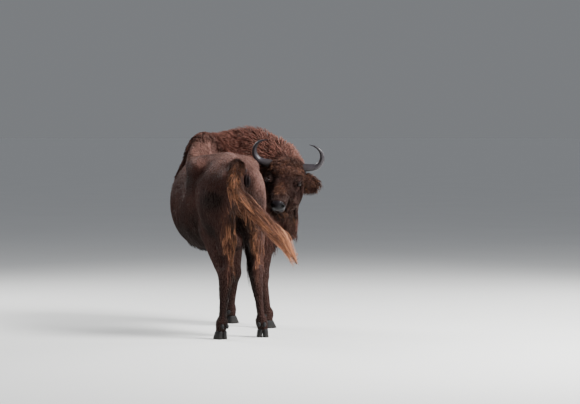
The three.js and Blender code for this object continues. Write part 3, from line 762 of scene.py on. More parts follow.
@dataclass
class Lattice:
    """A field kept at the nodes of a grid near its surface."""

    low: Array
    high: Array
    cell: float = 0.015
    block: int = 6
    margin: float = 0.19  # blocks whose middle is nearer than this are asked node by node

    def fill(self, distance: Callable[[Array], Array]) -> None:
        """Asks the field once in the middle of each block, and at every node of the blocks near it."""
        count = np.ceil((self.high - self.low) / (self.cell * self.block)).astype(int)
        span = self.cell * self.block
        middles = np.stack(np.meshgrid(*[np.arange(n) for n in count], indexing="ij"), -1)
        coarse = distance(self.low + (middles.reshape(-1, 3) + 0.5) * span - self.cell / 2)
        coarse = coarse.reshape(count)
        self.values = coarse.copy()
        for axis in range(3):
            self.values = np.repeat(self.values, self.block, axis)
        near = np.abs(coarse) < self.margin
        for axis in range(3):
            near = np.repeat(near, self.block, axis)
        nodes = np.argwhere(near)
        self.values[near] = distance(self.low + nodes * self.cell)

    def sample(self, p: Array) -> tuple[Array, Array]:
        """The field and its slope at points, from the eight nodes round each."""
        q = (p - self.low) / self.cell
        base = np.clip(np.floor(q).astype(int), 0, np.array(self.values.shape) - 2)
        t = np.clip(q - base, 0, 1)
        v = {}
        for i, j, k in np.ndindex(2, 2, 2):
            v[i, j, k] = self.values[base[:, 0] + i, base[:, 1] + j, base[:, 2] + k]
        x, y, z = t.T
        c = {(j, k): mix(v[0, j, k], v[1, j, k], x) for j in (0, 1) for k in (0, 1)}
        dx = mix(mix(v[1, 0, 0] - v[0, 0, 0], v[1, 1, 0] - v[0, 1, 0], y),
                 mix(v[1, 0, 1] - v[0, 0, 1], v[1, 1, 1] - v[0, 1, 1], y), z)
        dy = mix(c[1, 0] - c[0, 0], c[1, 1] - c[0, 1], z)
        dz = mix(c[0, 1] - c[0, 0], c[1, 1] - c[1, 0], y)
        value = mix(mix(c[0, 0], c[1, 0], y), mix(c[0, 1], c[1, 1], y), z)
        return value, np.stack([dx, dy, dz], -1) / self.cell

    def surface(self) -> PolyMesh:
        """One vertex in each cell that the surface crosses, at the mean of its edge crossings.

        Each lattice edge with its ends on two sides gives a face through the four cells round it.
        """
        vol = self.values
        inside = vol < 0
        n = np.array(vol.shape) - 1
        corner = {c: vol[c[0] : n[0] + c[0], c[1] : n[1] + c[1], c[2] : n[2] + c[2]]
                  for c in np.ndindex(2, 2, 2)}
        total = sum((v < 0).astype(np.int8) for v in corner.values())
        active = (total > 0) & (total < 8)
        cells = np.argwhere(active)
        index = np.full(active.shape, -1)
        index[active] = np.arange(len(cells))
        at = {c: v[active] for c, v in corner.items()}
        place_sum, count = np.zeros((len(cells), 3)), np.zeros(len(cells))
        for c in np.ndindex(2, 2, 2):
            for axis in range(3):
                if c[axis]:
                    continue
                other = tuple(1 if k == axis else c[k] for k in range(3))
                a, b = at[c], at[other]
                crossing = (a < 0) != (b < 0)
                t = np.where(crossing, a / np.where(crossing, a - b, 1), 0)
                point = np.array(c, float) + t[:, None] * np.eye(3)[axis]
                place_sum += point * crossing[:, None]
                count += crossing
        points = self.low + (cells + place_sum / count[:, None]) * self.cell
        faces = []
        for axis in range(3):
            first = np.moveaxis(inside, axis, 0)
            changed = np.argwhere(np.moveaxis(first[:-1] != first[1:], 0, axis))
            leaving = inside[tuple(changed.T)]
            u, w = np.eye(3, dtype=int)[(axis + 1) % 3], np.eye(3, dtype=int)[(axis + 2) % 3]
            around = ((1, 1), (0, 1), (0, 0), (1, 0))
            quad = np.stack([index[tuple((changed - a * u - b * w).T)] for a, b in around], 1)
            faces.append(np.where(leaving[:, None], quad, quad[:, ::-1]))
        return PolyMesh.of(points, np.vstack(faces))


# ---------------------------------------------------------------- the skin


@dataclass
class EyePlace:
    """Where an eye sits: its middle, and its directions outwards, towards the nose and upwards."""

    side: Side
    radius: float = 0.021
    width: float = 0.98  # half the slit between the lids, as an angle at the middle of the eye
    height: float = 0.60

    def __post_init__(self) -> None:
        """Reads the middle of the eye from the solid model."""
        low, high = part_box(f"eye_{self.side.word}")
        self.centre = (np.array(low) + np.array(high)) / 2
        sign = self.side.value
        self.out = HEAD.way(0.22, sign * 0.95, 0.24)
        nose = HEAD.way(0.93, -sign * 0.20, 0.28)
        self.nose = unit(nose - self.out * (nose @ self.out))
        self.up = np.cross(self.out, self.nose) * -sign
        self.up = self.up * np.sign(self.up @ HEAD.way(0, 0, 1))

    def angles(self, p: Array) -> tuple[Array, Array, Array]:
        """Angles towards the nose and upwards, and the distance, as seen from the eye's middle."""
        d = p - self.centre
        out, nose, up = d @ self.out, d @ self.nose, d @ self.up
        return np.arctan2(nose, out), np.arctan2(up, np.hypot(out, nose)), np.linalg.norm(d, axis=1)

    def slit(self, along: Array, above: Array) -> Array:
        """Below zero between the lids: the height less that of an almond, in metres on the eye."""
        share = np.clip(np.abs(along) / self.width, 0, 1.4)
        return self.radius * (np.abs(above - 0.04) - self.height * (1 - share**2.2))


@dataclass
class Face:
    """The fine shapes of the head: brows, lids, cheekbones, nostrils, nose pad and lips."""

    flesh: Flesh

    def __post_init__(self) -> None:
        """Gathers the small masses and hollows."""
        f = self.flesh
        self.eyes = [EyePlace(side) for side in Side]
        small, pits, hollows = [], [], []
        for k in (1, -1):
            small.append(f.lump(190, k * 104, -72, (46, 18, 34)))  # orbit
            small.append(f.bar((146, k * 125, -44), 17, (222, k * 106, -34), 12))  # ridge of the brow
            small.append(f.bar((214, k * 118, -100), 17, (330, k * 66, -98), 9))  # cheekbone
            small.append(f.lump(450, k * 52, -42, (27, 22, 22)))  # wing of the nostril
            small.append(f.lump(446, k * 30, -104, (32, 32, 17)))  # upper lip
            pits.append(f.bar((478, k * 41, -38), 16, (446, k * 45, -62), 12))
            pits.append(f.bar((468, k * 54, -46), 8, (450, k * 66, -56), 3))  # slit behind it
            hollows.append(f.lump(322, k * 108, -58, (72, 24, 24)))  # beside the nose bridge
        small.append(f.lump(424, 0, -134, (44, 44, 21)))  # lower lip and chin
        self.small = Union(small, 0.012)
        self.pits = Union(pits, 0.004)
        self.hollows = Union(hollows, 0.004)

    def distance(self, p: Array) -> Array:
        """How far points are from the skin, with the fine shapes of the head on it."""
        d = self.flesh.distance(p)
        d = smooth_min(d, self.small.distance(p) + 0.004, 0.014)
        d = carved(d, self.hollows.distance(p), 0.030)
        for eye in self.eyes:
            along, above, far = eye.angles(p)
            d = smooth_min(d, far - eye.radius - 0.0025, 0.020)
            hole = np.maximum(eye.slit(along, above) - 0.0015, eye.radius * (np.abs(along) - 1.2))
            d = carved(d, np.maximum(hole, far - 0.034), 0.002)
        d = carved(d, self.pits.distance(p), 0.004)
        q = HEAD.local(p) / MM
        gape = -113 - 0.10 * (466 - q[:, 0]) + 0.0035 * q[:, 1] ** 2 * step(q[:, 0], 406, 466)
        mouth = np.maximum(np.abs(q[:, 2] - gape) - 1.8, 376 - q[:, 0]) * MM
        d = carved(d, np.maximum(mouth, -(d + 0.007)), 0.003)
        groove = np.maximum(np.abs(q[:, 1]) - 1.2, np.maximum(q[:, 2] + 62, -108 - q[:, 2])) * MM
        groove = np.maximum(groove, (426 - q[:, 0]) * MM)
        return carved(d, np.maximum(groove, -(d + 0.003)), 0.003)


@dataclass
class Perineum:
    """The bare folds under the tail: how far left of its root, and how high, each lies."""

    vent: tuple[float, float] = (-0.047, 1.326)
    vulva: tuple[float, float] = (-0.075, 1.243)
    middle: tuple[float, float] = (-0.064, 1.265)

    def behind(self, p: Array) -> Array:
        """1 on the rear of the animal and 0 ahead of it."""
        return 1 - step(p[:, 0], -0.62, -0.58)

    def shares(self, p: Array) -> tuple[Array, Array, Array]:
        """Distance from the vent, and sideways and upward shares of the vulva's half sizes."""
        y, z = p[:, 1] - TAIL_HEAD[1], p[:, 2]
        ring = np.hypot(y - self.vent[0], z - self.vent[1])
        return ring, (y - self.vulva[0]) / 0.024, (z - self.vulva[1]) / 0.050

    def bare(self, p: Array) -> Array:
        """1 on the bare folds and 0 on the haired skin."""
        ring, u, w = self.shares(p)
        spot = np.maximum(1 - step(ring, 0.020, 0.034), 1 - step(np.hypot(u, w), 0.9, 1.35))
        return spot * self.behind(p)

    def swelling(self, p: Array) -> Array:
        """How far the folds stand out: a puckered ring, and two lips beside a slit."""
        ring, u, w = self.shares(p)
        angle = np.arctan2(p[:, 2] - self.vent[1], p[:, 1] - TAIL_HEAD[1] - self.vent[0])
        pucker = 0.0075 * bell(ring, 0.017, 0.008) * (1 + 0.18 * np.cos(9 * angle))
        pucker -= 0.012 * bell(ring, 0.0, 0.007)
        lips = 0.013 * np.exp(-(np.hypot(u, w) ** 4)) - 0.009 * bell(u, 0.0, 0.16) * np.exp(-(w**4))
        return (pucker + lips) * self.behind(p)


@dataclass(frozen=True)
class Region:
    """Where the skin is made finer: the head ahead of nose, balls round the eyes, and the folds."""

    nose: float
    middle: float
    half: float
    eye: float
    folds: tuple[float, float]


HEAD_REGION = Region(-0.02, -0.10, 0.19, 0.0, (0.085, 0.13))
FACE_REGION = Region(0.35, -0.10, 0.19, 0.062, (0.065, 0.105))
OPENINGS = Region(0.41, -0.08, 0.085, 0.040, (0.0, 0.0))


@dataclass
class Hide:
    """The one skin: a smooth surface round the flesh, finer where the face and the rump need it."""

    low: Point = (-0.90, -0.62, -0.03)
    high: Point = (0.95, 0.72, 1.72)

    def __post_init__(self) -> None:
        """Fills the lattice that the coat reads later."""
        self.flesh = Flesh()
        self.face = Face(self.flesh)
        self.folds = Perineum()
        self.lattice = Lattice(np.array(self.low), np.array(self.high))
        self.lattice.fill(self.flesh.distance)

    def detailed(self, p: Array) -> Array:
        """How far points are from the skin, with every fine shape on it."""
        d = self.flesh.distance(p)
        near = np.flatnonzero(np.linalg.norm(HEAD.local(p) - [0.24, 0, -0.10], axis=1) < 0.42)
        d[near] = self.face.distance(p[near])
        rear = np.flatnonzero((p[:, 0] < -0.55) & (p[:, 2] > 1.10) & (p[:, 2] < 1.42))
        d[rear] -= self.folds.swelling(p[rear])
        return d - 0.004 * self.muscle(p)

    def muscle(self, p: Array) -> Array:
        """Soft rises and hollows of the body between -1 and 1: ribs and the folds of the flank."""
        s, side = SPINE.nearest(p)
        ribs = np.sin((s - 0.25 * p[:, 2]) * 2 * np.pi / 0.085)
        ribs *= band(s, 0.72, 0.86, 1.05, 1.2) * step(np.abs(side), 0.15, 0.26)
        ribs *= band(p[:, 2], 0.80, 0.95, 1.2, 1.35)
        hollow = bell(s, 0.60, 0.10) * bell(p[:, 2], 1.30, 0.09)
        ridge = bell(side, 0.0, 0.022) * step(p[:, 2], 1.2, 1.3) * (1 - step(s, 0.9, 1.1))
        return 0.5 * ribs - 1.4 * hollow * step(np.abs(side), 0.10, 0.20) + 1.8 * ridge * step(s, 0.0, 0.12)

    def build(self) -> PolyMesh:
        """Meshes the skin, refines it in three rounds and lays each onto the detailed field."""
        mesh = self.lattice.surface()
        mesh.points = settled(self.flesh.distance, mesh.points, 2)
        mesh.points = mesh.evened(0.5)
        mesh.points = settled(self.detailed, mesh.points, 1)
        for region in (HEAD_REGION, FACE_REGION, OPENINGS):
            mesh = mesh.refined(self.within(region, mesh.points))
            fine = self.within(region, mesh.points)
            mesh.points = np.where(fine[:, None], mesh.evened(0.35), mesh.points)
            mesh.points[fine] = settled(self.detailed, mesh.points[fine], 2, 0.006)
        return mesh

    def within(self, region: Region, p: Array) -> Array:
        """True inside the region."""
        q = HEAD.local(p)
        inside = (q[:, 0] > region.nose) & (q[:, 0] < 0.6) & (np.abs(q[:, 1]) < 0.2)
        inside &= np.abs(q[:, 2] - region.middle) < region.half
        for eye in self.face.eyes:
            inside |= np.linalg.norm(p - eye.centre, axis=1) < region.eye
        off, high = self.folds.middle
        across = np.abs(p[:, 1] - TAIL_HEAD[1] - off) < region.folds[0]
        return inside | ((p[:, 0] < -0.60) & across & (np.abs(p[:, 2] - high) < region.folds[1]))


# ---------------------------------------------------------------- where things are on the body


@dataclass
class Survey:
    """What each vertex of the skin belongs to, how its hair lies, and its markings.

    Every mask runs from 0 to 1. The markings are dark (nearly black brown, and painted shade in places), lit
    (pale tan: painted light on tops and lit edges, and sun-bleached hair), ginger, wool (reddish matt wool)
    and bare (hairless).
    """

    hide: Hide
    mesh: PolyMesh

    def __post_init__(self) -> None:
        """Works out the masks of every vertex."""
        p, flesh = self.mesh.points, self.hide.flesh
        self.p, self.n = p, self.mesh.normals()
        self.s, self.side = SPINE.nearest(p)
        self.q = HEAD.local(p)
        trunk = smooth_min(flesh.trunk.distance(p), flesh.neck.distance(p), 0.08)
        self.mane = 1 - step(flesh.mane.distance(p), -0.02, 0.03)
        legs = np.stack([leg.distance(p) for leg in flesh.legs])
        skull = flesh.head.distance(p)
        self.leg = np.where(trunk - legs.min(0) > 0, legs.argmin(0), -1)
        self.on_leg = step(trunk - legs.min(0), -0.03, 0.05)
        self.on_hind = self.on_leg * (legs.argmin(0) < 2)
        self.on_fore = self.on_leg * (legs.argmin(0) >= 2)
        self.on_head = step(np.minimum(trunk, legs.min(0)) - skull, -0.02, 0.03) * (self.q[:, 0] > -0.06)
        self.wool = self.woolly()
        self.crown = self.on_head * (1 - step(self.q[:, 0] + 0.25 * np.abs(self.q[:, 1]), 0.09, 0.22))
        self.crown *= step(self.q[:, 2], -0.15, -0.06)
        self.face = self.on_head * (1 - self.crown)
        self.lie = self.lay()
        self.paint()

    def woolly(self) -> Array:
        """1 where the coat is thick wool: withers, hump, neck, shoulders and chest."""
        z = self.p[:, 2]
        front = step(self.s + 0.35 * (z - 1.3), 0.98, 1.28)
        low = step(z, 0.62, 0.86)
        return front * mix(low, 1.0, self.on_head) * (1 - self.on_head)

    def foot_way(self) -> Array:
        """For each vertex, the level direction that the foot of the nearest leg points in."""
        return np.array([leg.ahead for leg in LEGS])[np.maximum(self.leg, 0)]

    def lay(self) -> Array:
        """The lie of the hair: back and down the body, down the legs, and down the face."""
        ahead = SPINE.direction(self.s)
        low = step(1.45 - self.p[:, 2], 0.0, 0.35)[:, None]
        body = -ahead * mix(1.0, 0.55, low) - UP * mix(0.1, 0.9, low)
        leg = -UP - 0.12 * self.foot_way()
        x, y, z = HEAD.axes()
        q = self.q
        sideways = np.clip(q[:, 1:2] / 0.10, -1, 1)
        crown = x * 0.9 + y * sideways * 0.7 - z * 0.15
        cheek = -z * 0.8 + x * 0.25 - UP * 0.5
        jaw = step(-q[:, 2:3], 0.10, 0.20)
        bridge = x * mix(0.9, -0.8, step(q[:, :1], 0.30, 0.40)) + y * sideways * 0.8
        face = mix(bridge, cheek, jaw)
        lie = mix(body, leg, self.on_leg[:, None])
        lie = mix(lie, face, self.face[:, None])
        lie = mix(lie, crown, self.crown[:, None])
        for eye in self.hide.face.eyes:
            gap = self.p - eye.centre
            close = 1 - step(np.linalg.norm(gap, axis=1), 0.040, 0.085)
            lie = mix(unit(lie), unit(gap - 0.02 * eye.nose), 0.85 * close[:, None])
        return unit(lie - self.n * (lie * self.n).sum(1)[:, None])

    def backward(self) -> Array:
        """1 where the skin faces backwards on its leg, and -1 where it faces forwards."""
        return -(self.n * self.foot_way()).sum(1)

    def paint(self) -> None:
        """The markings of the coat, each a formula of the place on the body."""
        self.dark, self.lit, self.ginger = self.darkened(), self.lit_and_bleached(), self.gingered()
        self.nose = self.nose_pad()
        # the nostril pits, which get painted shade
        self.pit = 1 - step(self.hide.face.pits.distance(self.p), 0.001, 0.005)
        self.bare = np.maximum(self.hide.folds.bare(self.p), self.nose)
        for eye in self.hide.face.eyes:
            along, above, far = eye.angles(self.p)
            rim = (1 - step(eye.slit(along, above), 0.002, 0.006)) * (1 - step(far, 0.030, 0.036))
            self.bare = np.maximum(self.bare, rim * (np.abs(along) < 1.25))

    def darkened(self) -> Array:
        """Where the coat is dark: darker low down and on the rear, dark shins and muzzle, and painted shade
        on undersides, between the hind legs, in the cleft and below the left hip.
        """
        p, n, q, s, z = self.p, self.n, self.q, self.s, self.p[:, 2]
        off_head, out = 1 - self.on_head, np.abs(self.side)
        # the painted shade below the hook bone and under the pin bone is strongest on the left, the side away
        # from the light
        shade_on_left = mix(0.25, 1.0, step(self.side, -0.12, 0.12))
        facing_rear = -n[:, 0]
        # painted shade on surfaces that face down
        under = step(-n[:, 2], 0.1, 0.75) * (z < 1.05)
        low = step(1.22 - z, 0.0, 0.34) * (1 - self.wool) * off_head * (1 - 0.5 * self.on_leg)
        # dark shins, with painted shade added where they face away from the light on the right
        shins = self.on_leg * (1 - step(z, 0.30, 0.62)) * mix(1.0, 0.5, step(-n[:, 1], -0.2, 0.8))
        # dark face and muzzle: partly the coat's own colour, partly painted shade over the face
        muzzle = self.on_head * (1 - self.crown) * (0.66 + 0.28 * step(q[:, 0], 0.29, 0.43))
        brow = self.face * bell(np.abs(q[:, 1]), 0.09, 0.05) * bell(q[:, 0], 0.20, 0.09)
        # painted shadow under the overhang of the hook bone (hollow) and under the pin bone (seat)
        hollow = bell(s, 0.50, 0.16) * bell(z, 1.245, 0.095) * step(out, 0.16, 0.24)
        seat = bell(out, 0.20, 0.08) * bell(z, 1.11, 0.075) * (s < 0.2)
        # painted shade in the cleft under the tail
        cleft = bell(p[:, 1], TAIL_HEAD[1] - 0.07, 0.06) * bell(z, 1.08, 0.17)
        # painted shade on the inner and forward-facing sides of the hind legs, between the legs
        inward = n[:, 1] * np.where(self.leg == 0, -1, 1) * self.on_hind
        rear = off_head * bell(s, 0.0, 0.16) * step(z, 0.9, 1.1) * step(facing_rear, 0.2, 0.8)
        inner = band(z, 0.55, 0.85, 0.95, 1.15) * self.on_hind
        body = (0.75 * under + 0.60 * low + 0.55 * shins + 0.85 * muzzle + 0.35 * brow
                + shade_on_left * (0.95 * hollow + 0.8 * seat)
                + 0.7 * cleft * step(facing_rear, 0.2, 0.6) * (s < 0.3)
                + 0.7 * step(inward, 0.2, 0.8) + 0.35 * rear
                + 0.5 * inner * step(-self.backward(), -0.5, 0.6))
        # the crown darker down the forehead: dark wool, and painted shade below its lit top
        crown = self.crown * mix(0.20, 0.88, step(q[:, 0], -0.11, 0.01))
        return np.clip(np.clip(body, 0, 1) + crown + 0.45 * self.mane, 0, 1)

    def lit_and_bleached(self) -> Array:
        """Where the coat is pale: painted light on the tops, a painted highlight down the right buttock, and
        the left loin, sun-bleached and painted light.
        """
        s, z = self.s, self.p[:, 2]
        # painted light on surfaces that face up, over the back's bleached hair
        top = step(self.n[:, 2], 0.15, 0.85) * step(z, 1.15, 1.35)
        # painted highlight down the edge of the right buttock
        buttock = 0.5 * bell(self.side, -0.23, 0.10) * bell(z, 1.21, 0.17) * (s < 0.4)
        # the pale left loin: sun-bleached hair and painted light
        loin = 0.95 * bell(s, 0.78, 0.17) * bell(z, 1.42, 0.10)
        loin *= step(self.side, -0.04, 0.10) * (1 - 0.55 * self.wool)
        plain = (0.38 * top + buttock) * (1 - self.wool)
        return np.clip((plain + loin) * (1 - self.on_head), 0, 1)

    def gingered(self) -> Array:
        """Where the tips are ginger: the backs of the thighs, stronger where they face right as painted
        light, and down the bridge of the nose.
        """
        z, q = self.p[:, 2], self.q
        # the ginger breeches, made stronger on right-facing skin as painted light
        breech = self.on_hind * step(self.backward() - 0.45 * self.n[:, 1], 0.35, 0.95)
        breech *= band(z, 0.52, 0.70, 0.92, 1.1)
        bridge = self.face * bell(q[:, 1], 0.0, 0.035) * step(q[:, 0], 0.20, 0.26)
        bridge *= 1 - step(q[:, 0], 0.33, 0.41)
        return np.clip(0.27 * breech + 0.15 * bridge + 0.04 * self.crown, 0, 1)

    def nose_pad(self) -> Array:
        """1 on the bare wet skin between and under the nostrils."""
        q = self.q / MM
        wide = np.abs(q[:, 1]) - 70 + 0.26 * np.abs(q[:, 2] + 62)
        tall = np.abs(q[:, 2] + 64) - 51
        edge = np.maximum(np.maximum(wide, tall), 432 - q[:, 0])
        return (1 - step(edge, -3, 3)) * self.on_head

    def values(self) -> dict[str, Array]:
        """The markings by name, for the finishes."""
        wool = np.maximum(self.wool, 0.8 * self.crown)
        return {"dark": self.dark, "lit": self.lit, "ginger": self.ginger, "wool": wool,
                "bare": self.bare, "nose": self.nose, "pit": self.pit}


# ---------------------------------------------------------------- finishes


def fill(tree: Tree, node: bpy.types.Node, inputs: dict[str | int, object]) -> None:
    """Puts values, or links from other nodes' outputs, on the inputs of a node."""
    for name, value in inputs.items():
        if isinstance(value, bpy.types.NodeSocket):
            tree.links.new(value, node.inputs[name])
        else:
            node.inputs[name].default_value = value


def linked(tree: Tree, kind: str, inputs: dict[str | int, object] | None = None,
           **settings: object) -> bpy.types.Node:
    """Adds a node, with settings on it, and values or links on its inputs.

    Args:
        tree: Where the node goes.
        kind: Blender's name of the node type.
        inputs: For each input's name or number, a value or another node's output.
        settings: Properties of the node.

    Returns:
        The node.
    """
    node = tree.nodes.new(kind)
    for name, value in settings.items():
        setattr(node, name, value)
    fill(tree, node, inputs or {})
    return node


def sums(tree: Tree, operation: str, a: object, b: object, clamp: bool = False) -> object:
    """One sum of two numbers, as a node's output."""
    node = linked(tree, "ShaderNodeMath", {0: a, 1: b}, operation=operation, use_clamp=clamp)
    return node.outputs[0]


def times(tree: Tree, a: object, b: object, clamp: bool = False) -> object:
    """The product of two numbers, as a node's output."""
    return sums(tree, "MULTIPLY", a, b, clamp)


def plus(tree: Tree, a: object, b: object, clamp: bool = False) -> object:
    """The sum of two numbers, as a node's output."""
    return sums(tree, "ADD", a, b, clamp)


def less(tree: Tree, a: object, b: object, clamp: bool = False) -> object:
    """The first number less the second, as a node's output."""
    return sums(tree, "SUBTRACT", a, b, clamp)


def blended(tree: Tree, share: object, a: object, b: object) -> object:
    """A colour that goes from a to b by the share, as a node's output."""
    colours = {6 + k: (*c, 1.0) if isinstance(c, tuple) else c for k, c in enumerate((a, b))}
    return linked(tree, "ShaderNodeMix", {0: share, **colours}, data_type="RGBA").outputs[2]


def mark(tree: Tree, name: str) -> object:
    """A number kept on the mesh, as a node's output."""
    return linked(tree, "ShaderNodeAttribute", attribute_name=name).outputs["Fac"]


def position(tree: Tree) -> object:
    """The place in the piece's own frame, as a node's output."""
    return linked(tree, "ShaderNodeTexCoord").outputs["Object"]


def noise(tree: Tree, where: object, scale: float, detail: float) -> object:
    """Smooth noise between 0 and 1, as a node's output."""
    inputs = {"Vector": where, "Scale": scale, "Detail": detail}
    return linked(tree, "ShaderNodeTexNoise", inputs).outputs[0]


def ranged(tree: Tree, value: object, given: tuple[float, float] = (0.0, 1.0),
           made: tuple[float, float] = (0.0, 1.0)) -> object:
    """A number carried from one range to another and held at its ends, as a node's output."""
    inputs = {0: value, 1: given[0], 2: given[1], 3: made[0], 4: made[1]}
    return linked(tree, "ShaderNodeMapRange", inputs).outputs[0]


def new_group(name: str, inputs: list[tuple[str, str, object]], output: str) -> tuple:
    """Makes an empty shader node group with one colour as its output.

    Args:
        name: The group's name.
        inputs: Name, socket type and starting value of each input.
        output: The name of the colour.

    Returns:
        The group, its input node and its output node.
    """
    group = bpy.data.node_groups.new(name, "ShaderNodeTree")
    for label, kind, start in inputs:
        socket = group.interface.new_socket(name=label, in_out="INPUT", socket_type=kind)
        socket.default_value = start
    group.interface.new_socket(name=output, in_out="OUTPUT", socket_type="NodeSocketColor")
    return group, group.nodes.new("NodeGroupInput"), group.nodes.new("NodeGroupOutput")


@dataclass(frozen=True)
class Palette:
    """The colours of the animal."""

    body: Point = (0.056, 0.0215, 0.0180)
    wool: Point = (0.094, 0.036, 0.027)
    # lit: pale tan of sun-bleached hair, also painted light on tops and lit edges
    lit: Point = (0.285, 0.152, 0.122)
    # dark: nearly black brown, also painted shade
    dark: Point = (0.0060, 0.0033, 0.0036)
    ginger: Point = (0.62, 0.27, 0.135)
    bare: Point = (0.0065, 0.0052, 0.0064)


HAIR_MARKS = ("dark", "lit", "ginger", "wool")


@dataclass(frozen=True)
class CoatColour:
    """The node group that turns markings into the colour of hair, for skin and tufts alike."""

    palette: Palette = Palette()
    marks: tuple[str, ...] = (*HAIR_MARKS, "bare")

    def group(self) -> Tree:
        """Builds the group once, and finds it after that."""
        made = bpy.data.node_groups.get("coat_colour")
        if made:
            return made
        pal, number = self.palette, "NodeSocketFloat"
        names = [(name, number, 0.0) for name in self.marks]
        names += [("tip", number, 0.4), ("shade", number, 0.5), ("place", "NodeSocketVector", (0.0,) * 3)]
        tree, given, result = new_group("coat_colour", names, "colour")
        g = given.outputs
        drifting = less(tree, noise(tree, g["place"], 5.0, 3.0), 0.5)
        colour = blended(tree, g["wool"], pal.body, pal.wool)
        lit = plus(tree, g["lit"], times(tree, drifting, 0.55), True)
        colour = blended(tree, lit, colour, pal.lit)
        dark = less(tree, g["dark"], times(tree, drifting, 0.7), True)
        colour = blended(tree, dark, colour, pal.dark)
        reach = less(tree, times(tree, g["tip"], 1.5), 0.2, True)
        tipped = times(tree, g["ginger"], reach, True)
        picked = times(tree, tipped, times(tree, g["shade"], 2.0), True)
        colour = blended(tree, picked, colour, pal.ginger)
        gain = plus(tree, times(tree, g["wool"], 0.4), 0.35)
        light = plus(tree, times(tree, g["tip"], gain), 0.65)
        light = times(tree, light, plus(tree, times(tree, g["shade"], 0.5), 0.75))
        hsv = linked(tree, "ShaderNodeHueSaturation", {"Color": colour, "Value": light})
        final = blended(tree, g["bare"], hsv.outputs[0], pal.bare)
        tree.links.new(final, result.inputs["colour"])
        return tree

    def placed(self, tree: Tree, tip: object, shade: object) -> object:
        """Puts the group into a finish, wired to the markings kept on the mesh."""
        node = tree.nodes.new("ShaderNodeGroup")
        node.node_tree = self.group()
        marks = {name: mark(tree, name) for name in self.marks}
        fill(tree, node, {**marks, "place": position(tree), "tip": tip, "shade": shade})
        return node.outputs["colour"]


def blank(name: str) -> tuple[Finish, Tree, bpy.types.Node]:
    """A material with only its shader and output, the tree, and the shader."""
    material = bpy.data.materials.new(name)
    material.use_nodes = True
    tree = material.node_tree
    return material, tree, tree.nodes["Principled BSDF"]


def bump(tree: Tree, height: object, strength: float, distance: float) -> object:
    """The direction of a surface roughened by a height, as a node's output."""
    inputs = {"Height": height, "Strength": strength, "Distance": distance}
    return linked(tree, "ShaderNodeBump", inputs).outputs[0]


@dataclass(frozen=True)
class SkinFinish:
    """The skin under the coat: coloured as the hair is, with bare folds, a wet nose pad and painted shade in
    the nostrils.
    """

    roughness: float = 0.78
    bare: float = 0.62
    wet: float = 0.30
    # nearly black: painted shade inside the nostrils
    pit: Point = (0.001, 0.001, 0.001)

    def material(self) -> Finish:
        """Builds the finish."""
        material, tree, shader = blank("skin_under_coat")
        where = position(tree)
        speckle = noise(tree, where, 160.0, 2.0)
        colour = CoatColour().placed(tree, 0.0, speckle)
        pit, bare, nose = (mark(tree, name) for name in ("pit", "bare", "nose"))
        gloss = ranged(tree, bare, made=(self.roughness, self.bare))
        wet = ranged(tree, nose, made=(0.0, self.wet - self.bare))
        pores = linked(tree, "ShaderNodeTexVoronoi", {"Vector": where, "Scale": 210.0})
        height = times(tree, pores.outputs["Distance"], bare)
        height = plus(tree, height, times(tree, speckle, 0.5))
        fill(tree, shader, {
            # painted shade deep in the nostrils
            "Base Color": blended(tree, pit, colour, self.pit),
            "Roughness": plus(tree, gloss, wet),
            "Normal": bump(tree, height, 0.3, 0.001),
            "Specular Tint": blended(tree, nose, WARM, (1.0, 1.0, 1.0)),
            "Specular IOR Level": ranged(tree, less(tree, nose, pit, True), made=(0.15, 0.20)),
        })
        return material


# ---------------------------------------------------------------- the studio


